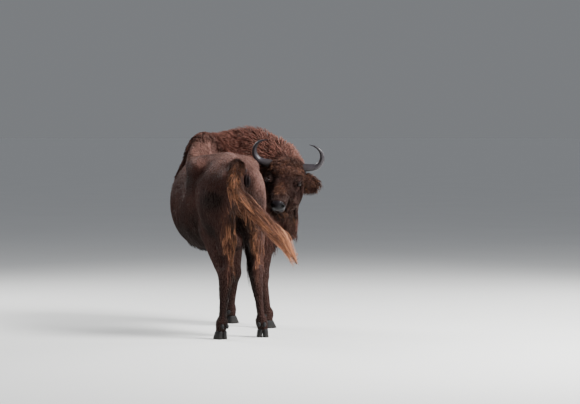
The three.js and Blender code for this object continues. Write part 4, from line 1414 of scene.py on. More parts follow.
@dataclass(frozen=True)
class Studio:
    """A pale floor, soft lamps and the camera."""

    eye: Point = (-17.390, -0.3506, 1.6)
    tilt: float = 1.79
    lens: float = 133.1
    sky: float = 0.66
    horizon: Point = (0.304, 0.317, 0.335)
    zenith: Point = (0.42, 0.44, 0.48)
    aim: Point = (0.0, 0.0, 0.9)  # what the lamps face
    floor_radius: float = 2500
    floor_colours: tuple[Point, Point] = ((0.70, 0.70, 0.68), (0.75, 0.75, 0.73))

    def build(self) -> None:
        """Lays the floor, hangs the lamps and sets up the camera."""
        self.floor()
        self.lamp("key_lamp", (-2.8, -4.6, 5.0), 2.4, 1500)
        self.lamp("fill_lamp", (-6.5, 3.0, 3.0), 5.0, 60)
        self.lamp("left_rim_lamp", (3.6, 3.8, 4.6), 3.0, 430)
        self.lamp("right_rim_lamp", (3.5, -5.0, 4.0), 3.0, 360)
        self.surroundings()
        self.camera()

    def floor(self) -> None:
        """A large level disc under the hooves, with a plain pale finish."""
        sides = 96
        angle = np.linspace(0, 2 * np.pi, sides, endpoint=False)
        rim = np.stack([np.cos(angle), np.sin(angle), np.zeros(sides)], -1)
        points = np.vstack([rim * self.floor_radius, [[0, 0, 0]]])
        ring = np.arange(sides)
        faces = np.stack([ring, np.roll(ring, -1), np.full(sides, sides)], 1)
        data = bpy.data.meshes.new("floor")
        PolyMesh.of(points, faces).into(data)
        material, tree, shader = blank("pale_floor")
        cloud = noise(tree, position(tree), 0.6, 4.0)
        fill(tree, shader, {"Base Color": blended(tree, cloud, *self.floor_colours), "Roughness": 0.85})
        data.materials.append(material)
        floor = bpy.data.objects.new("floor", data)
        bpy.context.scene.collection.objects.link(floor)
        floor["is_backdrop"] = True

    def lamp(self, name: str, spot: Point, size: float, power: float) -> None:
        """A square soft lamp that faces the middle of the animal."""
        data = bpy.data.lights.new(name, "AREA")
        data.size, data.energy = size, power
        lamp = bpy.data.objects.new(name, data)
        away = np.array(spot) - self.aim
        flat = math.hypot(away[0], away[1])
        lamp.location = spot
        lamp.rotation_euler = (math.atan2(flat, away[2]), 0, math.atan2(away[1], away[0]) + math.pi / 2)
        bpy.context.scene.collection.objects.link(lamp)

    def surroundings(self) -> None:
        """A pale sky all round, as grey as the floor where they meet."""
        world = bpy.data.worlds.new("surroundings")
        world.use_nodes = True
        tree = world.node_tree
        way = linked(tree, "ShaderNodeTexCoord").outputs["Generated"]
        height = linked(tree, "ShaderNodeSeparateXYZ", {0: way}).outputs[2]
        share = ranged(tree, height, (0.08, 0.40))
        colour = blended(tree, share, self.horizon, self.zenith)
        fill(tree, tree.nodes["Background"], {0: colour, 1: self.sky})
        bpy.context.scene.world = world

    def camera(self) -> None:
        """Sets the camera at eye height behind the rump, looking a little down."""
        data = bpy.data.cameras.new("camera")
        data.lens, data.sensor_width = self.lens, 36
        camera = bpy.data.objects.new("camera", data)
        camera.location = self.eye
        camera.rotation_euler = (math.radians(90 - self.tilt), 0, math.radians(-90))
        bpy.context.scene.collection.objects.link(camera)
        bpy.context.scene.camera = camera


# ---------------------------------------------------------------- horns, eyes, ears, hooves, tail


@dataclass(frozen=True)
class HornFinish:
    """Smooth grey-black horn with fine lines along it, lighter in the middle and dark at the tip."""

    light: Point = (0.030, 0.025, 0.029)
    deep: Point = (0.012, 0.010, 0.012)
    base: Point = (0.026, 0.020, 0.018)

    def material(self) -> Finish:
        """Builds the finish."""
        material, tree, shader = blank("horn_sheath")
        along, around = mark(tree, "along"), mark(tree, "around")
        grain = {0: times(tree, along, 3.0), 1: times(tree, around, 26.0)}
        grain = linked(tree, "ShaderNodeCombineXYZ", grain).outputs[0]
        lines = noise(tree, grain, 1.6, 4.0)
        colour = blended(tree, ranged(tree, along, (0.05, 0.30)), self.base, self.light)
        colour = blended(tree, ranged(tree, along, (0.50, 0.86)), colour, self.deep)
        streak = ranged(tree, lines, (0.35, 0.75), (0.0, 0.55))
        fill(tree, shader, {
            "Base Color": blended(tree, streak, colour, self.deep),
            "Roughness": ranged(tree, lines, made=(0.26, 0.50)),
            "Specular IOR Level": 0.32,
            "Normal": bump(tree, lines, 0.35, 0.0015),
        })
        return material


@dataclass
class Horn:
    """A horn: out of the crown, up, and in again at the tip, with rings near its root."""

    side: Side
    root_radius: float = 0.036
    collar: float = 0.056  # the length at the root that keeps its full radius
    root: tuple[float, float] = (26, -50)  # how far it starts ahead of the poll, and out of it
    spread: float = 283
    rise: float = 184
    line: tuple = ((0.10, 0.0, 0.0), (0.30, 0.0, 0.0), (0.62, -0.02, 0.03), (0.84, -0.08, 0.1),
                   (0.975, -0.22, 0.3), (1.0, -0.4, 0.55), (0.93, -0.55, 0.78), (0.78, -0.64, 0.93),
                   (0.6, -0.66, 1.0))

    def build(self, finish: Finish) -> Piece:
        """A circle carried along the line. Its radius falls as the length to the power 1.5."""
        k, sides, steps = self.side.value, 40, 110
        x, z = self.root
        points = [HEAD.put((x + back * self.rise * 0.8, k * out * self.spread, z + up * self.rise))
                  for out, back, up in self.line]
        path = catmull(np.array(points), 12)
        length = lengths(path)
        even = np.linspace(0, length[-1], steps)
        path = np.stack([np.interp(even, length, path[:, a]) for a in range(3)], -1)
        share = np.clip((even - self.collar) / (even[-1] - self.collar), 0, 1)
        radius = self.root_radius * (1 - 0.955 * share**1.5)
        rings = np.sin(share * 95) * (1 - step(share, 0.05, 0.42)) + 0.5 * np.sin(share * 231)
        radius = radius * (1 + 0.018 * rings * (1 - step(share, 0.2, 0.6)))
        mesh = carried(path, HEAD.axes()[0], round_section(radius, sides, 0.93))
        horn = make_piece(f"horn_sheath_{self.side.word}", mesh, finish)
        around = np.tile(np.abs(np.linspace(-1, 1, sides, endpoint=False)), len(path))
        write_values(horn, {"along": np.append(np.repeat(share, sides), [0, 1]),
                            "around": np.append(around, [0, 0])})
        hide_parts(f"horn_{self.side.word}")
        return horn


@dataclass(frozen=True)
class EyeFinish:
    """A wet brown-black eye with a level pupil."""

    iris: Point = (0.014, 0.007, 0.004)
    white: Point = (0.014, 0.008, 0.007)
    pupil: Point = (0.002, 0.002, 0.003)

    def material(self) -> Finish:
        """Builds the finish."""
        material, tree, shader = blank("eye_wet")
        rays = noise(tree, position(tree), 900.0, 2.0)
        brown = blended(tree, rays, tuple(0.5 * c for c in self.iris), self.iris)
        edge = ranged(tree, mark(tree, "pupil"), (0.9, 1.15))
        colour = blended(tree, edge, self.pupil, brown)
        rim = ranged(tree, mark(tree, "off"), (0.70, 0.86))
        fill(tree, shader, {
            "Base Color": blended(tree, rim, colour, self.white),
            "Roughness": 0.10,
            "Coat Weight": 0.1,
            "Specular IOR Level": 0.3,
            "Coat Roughness": 0.03,
        })
        return material


@dataclass
class Eye:
    """An eyeball with a low clear bulge in front, and the two lids that close round it."""

    spot: EyePlace
    bulge: float = 0.045  # how much further out the front stands, as a share of the radius

    def build(self, finish: Finish, skin_finish: Finish) -> list[Piece]:
        """Makes the ball and the lids.

        Args:
            finish: The finish of the ball.
            skin_finish: The finish of the skin, which the lids share.

        Returns:
            The ball and the lids.
        """
        spot = self.spot
        off = np.linspace(0, np.pi, 34)[1:-1]
        turn = np.linspace(0, 2 * np.pi, 48, endpoint=False)
        a, b = np.meshgrid(off, turn, indexing="ij")
        radius = spot.radius * (1 + self.bulge * bell(a, 0.0, 0.55))
        way = np.cos(a)[..., None] * spot.out + np.sin(a)[..., None] * (
            np.cos(b)[..., None] * spot.nose + np.sin(b)[..., None] * spot.up)
        rings = spot.centre + radius[..., None] * way
        front = spot.centre + spot.out * spot.radius * (1 + self.bulge)
        back = spot.centre - spot.out * spot.radius
        mesh = lofted(rings, front, back)
        ball = make_piece(f"eyeball_{spot.side.word}", mesh, finish)
        level_share = np.hypot(a * np.cos(b) / 0.40, a * np.sin(b) / 0.22)
        write_values(ball, {"off": np.append(a, [0, np.pi]), "pupil": np.append(level_share, [0, 9])})
        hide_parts(f"eye_{spot.side.word}")
        return [ball, self.lids(skin_finish)]

    def lids(self, finish: Finish) -> Piece:
        """A soft rim carried round the almond of the slit, with folds beside it."""
        spot = self.spot
        count, sides = 96, 20
        t = np.linspace(0, 2 * np.pi, count, endpoint=False)[:, None]
        f = np.linspace(0, 2 * np.pi, sides, endpoint=False)[None]
        along = spot.width * np.cos(t)
        above = 0.04 + np.sign(np.sin(t)) * spot.height * (1 - np.abs(np.cos(t)) ** 2.2)
        upper = step(np.sin(t), -0.3, 0.5)
        wide = mix(0.30, 0.46, upper)
        way_a, way_b = np.cos(t), np.sin(t) / 0.75
        size = np.hypot(way_a, way_b)
        reach = wide * (1 - np.cos(f)) / 2
        along, above = along + way_a / size * reach, above + way_b / size * reach
        fold = 0.0007 * np.sin(reach * 42) * step(reach, 0.10, 0.25)
        radius = spot.radius + 0.0018 + mix(0.0022, 0.0032, upper) * np.sin(f) + fold * (np.sin(f) > 0)
        flat = np.cos(along)[..., None] * spot.out + np.sin(along)[..., None] * spot.nose
        way = np.cos(above)[..., None] * flat
        points = spot.centre + radius[..., None] * (way + np.sin(above)[..., None] * spot.up)
        grid = np.arange(count * sides).reshape(count, sides)
        mesh = PolyMesh.of(points.reshape(-1, 3), wrapped(np.vstack([grid, grid[:1]])))
        mesh = mesh.facing_out(points.mean(1).repeat(sides, 0))
        lids = make_piece(f"eyelids_{spot.side.word}", mesh, finish)
        write_values(lids, {"dark": np.full(count * sides, 1.0), "bare": np.full(count * sides, 0.8)})
        return lids


@dataclass
class Ear:
    """A cupped leaf, held out sideways under the horn."""

    side: Side
    root: Point = (84, 60, -136)
    tip: Point = (110, 262, -130)
    width: float = 0.046
    thickness: float = 0.006
    cup: float = 0.020
    count: int = 40
    sides: int = 32

    def path(self) -> Array:
        """The middle rib, from root to tip."""
        k = self.side.value
        a, b = np.array(self.root, float), np.array(self.tip, float)
        bend = (a + b) / 2 + [-6, 0, 4]
        points = np.array([HEAD.put(v * [1, k, 1]) for v in (a, bend, b)])
        return catmull(points, self.count // 2)[: self.count]

    def across(self) -> Array:
        """The direction across the leaf."""
        return HEAD.way(0.72, 0, -0.7)

    def swell(self, share: Array) -> Array:
        """The leaf's breadth along the rib, as a share of its widest."""
        return np.sin(np.pi * (0.14 + 0.86 * share) ** 0.9) * 0.92 + 0.08

    def surface(self) -> PolyMesh:
        """A thin curved section carried along the rib: breadth by cosine, cup by its square."""
        path = self.path()
        share = np.linspace(0, 1, len(path))
        swell = self.swell(share)[:, None]
        angle = np.linspace(0, 2 * np.pi, self.sides, endpoint=False)[None]
        flat = np.cos(angle)
        depth = swell * (self.thickness * np.sin(angle) - self.side.value * self.cup * (1 - flat**2))
        return carried(path, self.across(), np.stack([self.width * swell * flat, depth], -1))


@dataclass(frozen=True)
class HoofFinish:
    """Dull black hoof horn with level growth lines and dust near the ground."""

    horn: Point = (0.006, 0.0055, 0.0055)
    dust: Point = (0.026, 0.021, 0.017)

    def material(self) -> Finish:
        """Builds the finish."""
        material, tree, shader = blank("hoof_wall")
        where = position(tree)
        height = linked(tree, "ShaderNodeSeparateXYZ", {0: where}).outputs[2]
        waves = {"Vector": where, "Scale": 42.0, "Distortion": 1.5}
        lines = linked(tree, "ShaderNodeTexWave", waves, bands_direction="Z").outputs["Fac"]
        cloud = noise(tree, where, 70.0, 4.0)
        dusty = times(tree, ranged(tree, height, (0.05, 0.0), (0.0, 0.7)), cloud)
        fill(tree, shader, {
            "Base Color": blended(tree, dusty, self.horn, self.dust),
            "Roughness": ranged(tree, cloud, made=(0.50, 0.80)),
            "Specular IOR Level": 0.25,
            "Normal": bump(tree, lines, 0.3, 0.001),
        })
        return material


@dataclass
class Foot:
    """The two claws of a foot and the two dewclaws behind it."""

    leg: Leg
    levels: tuple[float, ...] = (0, 0.0015, 0.007, 0.02, 0.034, 0.048, 0.060, 0.066, 0.0675)
    length: float = 0.108
    width: float = 0.046
    gap: float = 0.002
    outline: tuple = ((-0.5, 0.06), (-0.56, 0.4), (-0.44, 0.86), (-0.1, 1.0), (0.24, 0.86), (0.44, 0.52),
                      (0.5, 0.2), (0.44, 0.04), (0.0, 0.03))

    def build(self, finish: Finish) -> None:
        """Makes both claws and both dewclaws."""
        for side in Side:
            end = f"{self.leg.name}_{side.word}"
            hoof = make_piece(f"hoof_wall_{end}", self.claw(side), finish)
            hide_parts(f"hoof_{self.leg.name}_{side.word}")
            small = make_piece(f"spur_{end}", self.dewclaw(side), finish)
            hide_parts(f"dewclaw_{self.leg.name}_{side.word}")

    def claw(self, side: Side) -> PolyMesh:
        """The outline of the sole, carried upwards while it shrinks and leans back."""
        outline = np.array([*self.outline, self.outline[0]], float)
        loop = catmull(np.column_stack([outline, np.zeros(len(outline))]), 6)[:-1, :2]
        high = np.array(self.levels)[:, None]
        share = np.clip((high - 0.007) / 0.061, 0, 1)
        scale = 1.02 - 0.28 * share - 0.02 * (high < 0.001)  # a bevel round the sole
        scale = scale - 0.10 * (high > 0.0655) - 0.25 * (high > 0.067)  # and a rounded top
        scale = scale + 0.006 * np.sin(high * 900) * (share > 0) * (share < 0.95)  # growth rings
        shift = -0.001 - 0.019 * share
        along = loop[None, :, 0] * self.length * scale + shift
        out = side.value * (self.gap + loop[None, :, 1] * self.width * (0.5 + scale / 2))
        toe, leg = place(self.leg.toe), self.leg
        rings = toe + along[..., None] * leg.ahead + out[..., None] * leg.left + high[..., None] * UP
        return lofted(rings, rings[0].mean(0), rings[-1].mean(0))

    def dewclaw(self, side: Side) -> PolyMesh:
        """A small blunt cone behind the fetlock: a ball drawn out downwards and back."""
        fetlock, leg = place(self.leg.joints[3]), self.leg
        centre = fetlock - leg.ahead * 0.044 + leg.left * side.value * 0.021 - UP * 0.024
        down = unit(-UP - 0.45 * leg.ahead)
        out = unit(np.cross(down, leg.left))
        a, b = np.meshgrid(np.linspace(0, np.pi, 12)[1:-1], np.linspace(0, 2 * np.pi, 18, endpoint=False),
                           indexing="ij")
        thin = np.sin(a) * (1 - 0.25 * np.cos(a))
        wide, deep, tall = 0.0145, 0.0125, 0.021
        rings = centre + wide * (thin * np.cos(b))[..., None] * leg.left
        rings = rings + deep * (thin * np.sin(b))[..., None] * out + tall * np.cos(a)[..., None] * down
        return lofted(rings, centre + tall * down, centre - tall * down)


@dataclass
class Tail:
    """The flesh and bone of the tail, swung to the right, under its long hair."""

    radii: tuple[float, ...] = (40, 33, 25, 21, 18, 16, 14, 11, 8, 4)
    sides: int = 20

    def path(self) -> Array:
        """The middle of the tail."""
        return catmull(place(TAIL_LINE), 10)

    def surface(self) -> PolyMesh:
        """A circle carried along the tail."""
        path = self.path()
        last = len(self.radii) - 1
        radius = np.interp(np.linspace(0, last, len(path)), range(last + 1), self.radii)
        return carried(path, np.array([1.0, 0, 0]), round_section(radius * MM, self.sides))


# ---------------------------------------------------------------- the coat

NEARLY_A_TURN = 6.3  # a little over a full turn in radians, so that no chart overfills its strip

def drift(p: Array, size: float, seed: int) -> Array:
    """Smooth noise between about -1 and 1: the mean of six plane waves of about the given size."""
    rng = np.random.default_rng(seed)
    ways = unit(rng.normal(size=(6, 3))) * (2 * np.pi / size) * rng.uniform(0.6, 1.5, (6, 1))
    return np.sin(p @ ways.T + rng.uniform(0, 2 * np.pi, 6)).mean(1) * 1.8


def even_marks(count: int, **given: float) -> dict[str, Array]:
    """Markings that are the same at every point, and 0 unless they are given."""
    return {name: np.full(count, given.get(name, 0.0)) for name in HAIR_MARKS}


def leaders(p: Array, each: int) -> Array:
    """For each point, the nearest of every each-th point, or the point itself where each is 0."""
    if not each:
        return np.arange(len(p))
    heads = np.arange(0, len(p), each)
    result = np.empty(len(p), int)
    for part in np.array_split(np.arange(len(p)), max(1, len(p) // 500)):
        result[part] = heads[((p[part, None] - p[None, heads]) ** 2).sum(-1).argmin(1)]
    return result


def set_ring(points: Array, k: int, middle: Array, side: Array, keel: Array) -> None:
    """Sets the k-th ring of every tuft: its two edges, and the keel between them."""
    points[:, 3 * k : 3 * k + 3] = np.stack([middle - side, middle + keel, middle + side], 1)


@dataclass
class Roots:
    """Where tufts start: places, directions out of the skin, the lie of the hair, and markings."""

    place: Array
    out: Array
    lie: Array
    uv: Array
    marks: dict[str, Array]

    def __len__(self) -> int:
        """How many tufts there are."""
        return len(self.place)


@dataclass
class Ground:
    """A surface that hair grows from, with values at its vertices."""

    mesh: PolyMesh
    out: Array
    lie: Array
    uv: Array
    marks: dict[str, Array]

    def roots(self, density: Array, count: int, rng: np.random.Generator) -> Roots:
        """Scatters roots evenly by area times density.

        Args:
            density: The share of hair wanted at each vertex.
            count: How many roots there are.
            rng: The source of chance.

        Returns:
            The roots, with every value read between the corners of their triangles.
        """
        tri = self.mesh.triangles()
        a, b, c = (self.mesh.points[tri[:, k]] for k in range(3))
        area = np.linalg.norm(np.cross(b - a, c - a), axis=1) * density[tri].mean(1)
        total = np.cumsum(area)
        pick = np.searchsorted(total, (np.arange(count) + rng.random(count)) / count * total[-1])
        pick = np.minimum(pick, len(tri) - 1)
        u, v = rng.random((2, count))
        flip = u + v > 1
        u, v = np.where(flip, 1 - u, u), np.where(flip, 1 - v, v)
        share = np.stack([1 - u - v, u, v], 1)
        corner = tri[pick]

        def read(values: Array) -> Array:
            """A value between the three corners."""
            return (values[corner] * (share if values.ndim == 1 else share[..., None])).sum(1)

        first = self.uv[corner[:, :1]]
        near = self.uv[corner] - np.round(self.uv[corner] - first)
        uv = (near * share[..., None]).sum(1) % 1.0
        marks = {name: read(value) for name, value in self.marks.items()}
        return Roots(read(self.mesh.points), unit(read(self.out)), unit(read(self.lie)), uv, marks)


@dataclass(frozen=True)
class Growth:
    """How the tufts of a piece grow. Each range goes from the least to the most.

    length, width and lift are in metres, turn is how far a tuft strays from the lie of the coat in
    radians, curl is how far it sways sideways, and fall is how much its weight bends it down. Where
    lock is more than 0, so many tufts gather towards the tip of one by the share gather.
    """

    length: tuple[float, float]
    width: float
    lift: tuple[float, float]
    rings: int = 2
    thick: float = 0.22
    turn: float = 0.2
    curl: float = 0.0
    fall: float = 0.0
    clump: float = 0.5
    hug: bool = True
    lock: int = 0
    gather: float = 0.6
    contrast: float = 0.22


@dataclass
class Barber:
    """Grows tufts over the skin, and keeps them at their height above it."""

    lattice: Lattice
    seed: int = 11

    def grow(self, name: str, roots: Roots, growth: Growth, finish: Finish,
             long: Array | None = None) -> Piece:
        """Makes one piece of coat: three-sided tufts with a keel on top, closed at root and tip.

        A tuft steps along the lie of the coat. After each step it is put back to its height above
        the skin, which rises to the lift as the sine of a quarter turn.

        Args:
            name: The piece's name.
            roots: Where the tufts start.
            growth: Their size and habit.
            finish: Their finish.
            long: A factor on the length of each, if they differ.

        Returns:
            The piece.
        """
        rng = np.random.default_rng(self.seed + len(roots))
        count, g = len(roots), growth
        clump = drift(roots.place, 0.09, 3) * g.clump + drift(roots.place, 0.30, 5) * g.clump
        chance = rng.uniform(-1, 1, (4, count))
        length = mix(g.length[0], g.length[1], np.clip(0.5 + 0.5 * chance[0] + 0.25 * clump, 0, 1))
        lift = mix(g.lift[0], g.lift[1], np.clip(0.5 + 0.35 * chance[1] + 0.45 * clump, 0, 1))
        if long is not None:
            length, lift = length * long, lift * np.clip(long, 0.3, 1)
        width = g.width * (1 + 0.3 * chance[2])
        angle = g.turn * (0.8 * chance[3] + 0.5 * clump)
        side = np.cross(roots.lie, roots.out)
        way = unit(roots.lie * np.cos(angle)[:, None] + side * np.sin(angle)[:, None])
        centre, out = roots.place - roots.out * 0.0015, roots.out
        phase = rng.uniform(0, 2 * np.pi, count)
        leader = leaders(roots.place, g.lock)
        points = np.empty((count, g.rings * 3 + 1, 3))
        along = (np.arange(g.rings + 1) / g.rings) ** 0.9
        breadth = (1 - along**2) * (0.75 + 0.6 * along)
        for k, t in enumerate(along):
            if k:
                way = unit(way - UP * (g.fall * t))
                centre = centre + way * (length * (t - along[k - 1]))[:, None]
                height = lift * math.sin(t * math.pi / 2)
                if g.hug:
                    value, gradient = self.lattice.sample(centre)
                    out = unit(gradient)
                    want = height if not g.fall else np.maximum(height, value)
                    centre = centre + out * np.clip(want - value, -0.04, 0.04)[:, None]
                    way = unit(way - out * ((way * out).sum(1) * (0.85 if not g.fall else 0.25))[:, None])
                else:
                    centre = centre + out * (lift / g.rings)[:, None]
            side = unit(np.cross(way, out))
            keel = np.cross(side, way)
            sway = g.curl * t * np.sin(phase + 4.6 * t) if g.curl else 0.0
            middle = centre + side * np.asarray(sway).reshape(-1, 1) if g.curl else centre
            middle = mix(middle, middle[leader], g.gather * t)
            if k == g.rings:
                points[:, -1] = middle
                continue
            half = (width * breadth[k] / 2)[:, None]
            set_ring(points, k, middle, side * half, keel * half * 2 * g.thick)
        return self.piece(name, points, roots, g, finish, rng)

    def piece(self, name: str, points: Array, roots: Roots, g: Growth, finish: Finish,
              rng: np.random.Generator) -> Piece:
        """Joins the tufts into one mesh, with its markings and its baking map."""
        count, each = len(roots), g.rings * 3 + 1
        grid = np.arange(g.rings * 3).reshape(g.rings, 3)
        quads = wrapped(grid)
        tips = np.stack([grid[-1], np.roll(grid[-1], -1), np.full(3, each - 1)], 1)
        caps = np.array([[2, 1, 0]])
        base = (np.arange(count) * each)[:, None, None]
        mesh = PolyMesh.of(points.reshape(-1, 3), (base + quads).reshape(-1, 4),
                           (base + np.vstack([tips, caps])).reshape(-1, 3))
        piece = make_piece(name, mesh, finish)
        t = np.append(np.repeat((np.arange(g.rings) / g.rings) ** 0.9, 3), 1.0)
        across = np.append(np.tile([-1.0, 0.0, 1.0], g.rings), 0.0)
        vary = rng.normal(0, 1, count)
        vary = mix(vary, vary[leaders(roots.place, g.lock)], 0.6 if g.lock else 0.0)
        shade = np.clip(0.5 + g.contrast * vary + 0.16 * drift(roots.place, 0.12, 9), 0, 1)
        values = {"tip": np.tile(t, count), "across": np.tile(across, count),
                  "shade": np.repeat(shade, each)}
        picked = np.clip(0.5 + 1.1 * drift(roots.place, 0.035, 13) + rng.normal(0, 0.3, count), 0, 1)
        share = {"ginger": 0.15 + 1.1 * picked, "lit": 0.65 + 0.6 * picked}
        for marking in HAIR_MARKS:
            values[marking] = np.repeat(roots.marks[marking] * share.get(marking, 1.0), each)
        write_values(piece, values)
        self.baking_map(piece, roots.uv, np.stack([across * 0.5 + 0.5, t], 1), mesh.corners)
        return piece

    def baking_map(self, piece: Piece, uv: Array, patch: Array, corners: Array) -> None:
        """Gives each tuft a patch 0.003 across at its root's place on the skin's unwrap."""
        spots = uv[:, None] * 0.996 + patch[None] * 0.003
        layer = piece.data.uv_layers.new(name="OFBake")
        layer.data.foreach_set("uv", spots.reshape(-1, 2)[corners].astype(np.float32).ravel())


@dataclass(frozen=True)
class HairFinish:
    """Hair in tufts: coloured by the markings, lighter to the tips, with fine strands in its surface."""

    name: str = "hair"
    roughness: float = 0.52
    sheen: float = 0.08
    strand: float = 0.5

    def material(self) -> Finish:
        """Builds the finish."""
        material, tree, shader = blank(self.name)
        tip, shade = mark(tree, "tip"), mark(tree, "shade")
        spread = {0: times(tree, mark(tree, "across"), 4.0), 1: times(tree, tip, 1.2),
                  2: times(tree, shade, 61.0)}
        spread = linked(tree, "ShaderNodeCombineXYZ", spread).outputs[0]
        strands = noise(tree, spread, 1.7, 3.0)
        varied = plus(tree, shade, less(tree, strands, 0.5), True)
        fill(tree, shader, {
            "Base Color": CoatColour().placed(tree, tip, varied),
            "Normal": bump(tree, strands, self.strand, 0.0015),
            "Roughness": self.roughness,
            "Sheen Weight": self.sheen,
            "Sheen Roughness": 0.4,
            "Sheen Tint": (0.85, 0.62, 0.50, 1),
            "Specular IOR Level": 0.22,
            "Specular Tint": (*WARM, 1),
        })
        return material


@dataclass
class Coat:
    """All the hair of the animal, piece by piece."""

    hide: Hide
    survey: Survey
    ears: list[Ear]
    tail: Tail

    def __post_init__(self) -> None:
        """Prepares the ground, the finishes and the source of chance."""
        v = self.survey
        marks = {k: w for k, w in v.values().items() if k not in ("nose", "pit")}
        self.ground = Ground(v.mesh, v.n, v.lie, self.unwrap(), marks)
        self.barber = Barber(self.hide.lattice)
        self.rng = np.random.default_rng(7)
        self.short = HairFinish("short_hair", 0.55, 0.06, 0.4).material()
        self.woolly = HairFinish("woolly_hair", 0.80, 0.12, 0.7).material()
        self.long = HairFinish("long_hair", 0.48, 0.05, 0.6).material()

    def unwrap(self) -> Array:
        """The skin laid flat in charts: the body by length and turn, the head and legs as tubes."""
        v = self.survey
        turn = np.arctan2(v.side, v.p[:, 2] - 1.12) / (2 * np.pi) + 0.5
        body = np.stack([np.clip(v.s + 0.15, 0, 2.5) / 2.5, 0.46 + 0.53 * turn], 1)
        q = v.q + [0, 0, 0.09]
        around = np.arctan2(q[:, 1], q[:, 2]) / NEARLY_A_TURN + 0.5
        head = np.stack([np.clip(q[:, 0] + 0.1, 0, 0.6) / 1.25, 0.01 + 0.20 * around], 1)
        which = np.maximum(v.leg, 0)
        off = np.empty((len(v.p), 2))
        for index, leg in enumerate(LEGS):
            joints, mine = np.array([place(j) for j in leg.joints[::-1]]), which == index
            for k in (0, 1):
                off[mine, k] = v.p[mine, k] - np.interp(v.p[mine, 2], joints[:, 2], joints[:, k])
        around = np.arctan2(off[:, 1], off[:, 0]) / NEARLY_A_TURN + 0.5
        high = 0.23 + 0.21 * np.clip(v.p[:, 2] / 1.1, 0, 1)
        leg_chart = np.stack([(which + 0.02 + 0.96 * around) / len(LEGS), high], 1)
        uv = np.where((v.on_leg > 0.5)[:, None], leg_chart, body)
        return np.where((v.on_head > 0.5)[:, None], head, uv)

    def patch(self, name: str, weight: Array, count: int, growth: Growth, finish: Finish,
              long: Callable[[Roots], Array] | None = None) -> Piece:
        """Grows a piece of coat where the weight says, and nowhere on bare skin."""
        bare = 1 - np.clip(self.survey.bare * 1.2, 0, 1)
        roots = self.ground.roots(weight * bare, count, self.rng)
        return self.barber.grow(name, roots, growth, finish, None if long is None else long(roots))

    def build(self) -> None:
        """Grows every piece of coat."""
        self.body()
        self.wool()
        self.legs()
        self.head()
        self.lashes()
        self.ear_hair()
        self.hangings()
        self.tail_hair()

    def body(self) -> None:
        """Short sleek hair on rump, barrel and belly."""
        v = self.survey
        plain = (1 - v.wool) * (1 - v.on_head)
        rump = plain * (1 - step(v.s, 0.50, 0.52)) * (v.on_leg < 0.5)
        rest = plain * step(v.s, 0.50, 0.52) * (v.on_leg < 0.5)
        sleek = Growth((0.030, 0.050), 0.0075, (0.003, 0.0065), turn=0.30, clump=0.6)
        self.patch("coat_rump", rump, 12500, sleek, self.short)
        fuller = Growth((0.036, 0.060), 0.0092, (0.004, 0.0085), turn=0.34, clump=0.7)
        self.patch("coat_barrel", rest, 17000, fuller, self.short)

    def wool(self) -> None:
        """Thick wool on the withers, hump, shoulders, neck and chest."""
        v = self.survey
        thick = Growth((0.045, 0.078), 0.0082, (0.014, 0.036), rings=3, thick=0.30, turn=0.62, curl=0.004,
                       clump=0.55, lock=7, gather=0.35, contrast=0.32)
        deep = replace(thick, length=(0.055, 0.095), width=0.0080, lift=(0.020, 0.052))
        deepest = replace(deep, length=(0.060, 0.105), lift=(0.030, 0.074))
        cuts = (("coat_withers", -1.0, 1.24, 5500, thick), ("coat_hump", 1.24, 1.52, 7200, deep),
                ("coat_neck", 1.52, 9.0, 7200, deepest))
        for name, low, high, count, growth in cuts:
            part = v.wool * (v.s >= low) * (v.s < high)
            self.patch(name, part, count, growth, self.woolly)

    def legs(self) -> None:
        """Short hair on the legs, finer towards the feet."""
        v = self.survey
        grow = Growth((0.022, 0.038), 0.0060, (0.002, 0.0055), turn=0.25, clump=0.5)
        for name, mask, count in (("coat_hind_legs", v.on_hind, 12000),
                                  ("coat_fore_legs", v.on_fore * (1 - v.wool), 7000)):
            self.patch(name, mask * (mask > 0.5), count, grow, self.short, self.leg_length)

    def leg_length(self, roots: Roots) -> Array:
        """Shorter towards the feet."""
        return mix(0.62, 1.35, step(roots.place[:, 2], 0.15, 0.85))

    def head(self) -> None:
        """Woolly crown and forehead, longer hair on the cheeks, and the finest on the face."""
        v, along = self.survey, self.survey.q[:, 0]
        clear = self.off_eyes(v.p, 0.046, 0.070)
        crown = Growth((0.055, 0.100), 0.0080, (0.022, 0.052), rings=3, thick=0.30, turn=0.7,
                       curl=0.005, lock=9, gather=0.5, contrast=0.40)
        self.patch("coat_crown", v.crown * clear, 6500, crown, self.woolly, self.crown_length)
        cheek = v.face * step(-v.q[:, 2], 0.07, 0.13) * (1 - step(along, 0.33, 0.40)) * clear
        jowl = Growth((0.050, 0.095), 0.0070, (0.024, 0.064), rings=3, thick=0.3, turn=0.6,
                      curl=0.005, fall=0.15, lock=10, gather=0.5, contrast=0.36)
        self.patch("coat_cheeks", cheek, 5000, jowl, self.woolly, self.cheek_length)
        face = v.on_head * (1 - v.crown * clear) * (1 - cheek * 0.7) * self.off_eyes(v.p, 0.022, 0.026)
        face = face * (1 + step(along, 0.28, 0.36))
        fine = Growth((0.015, 0.026), 0.0031, (0.0055, 0.0115), turn=0.5, clump=0.6, hug=False, lock=5,
                      gather=0.5, contrast=0.42)
        self.patch("coat_face", face, 11000, fine, self.short, self.face_length)
        bridge = v.face * bell(v.q[:, 1], 0.0, 0.065) * step(along, 0.13, 0.19)
        stray = Growth((0.035, 0.065), 0.0050, (0.004, 0.018), rings=3, thick=0.3, turn=0.8,
                       curl=0.006, hug=False, lock=5, gather=0.5, contrast=0.6)
        self.patch("coat_bridge", bridge * (1 - step(along, 0.33, 0.39)), 850, stray, self.long)

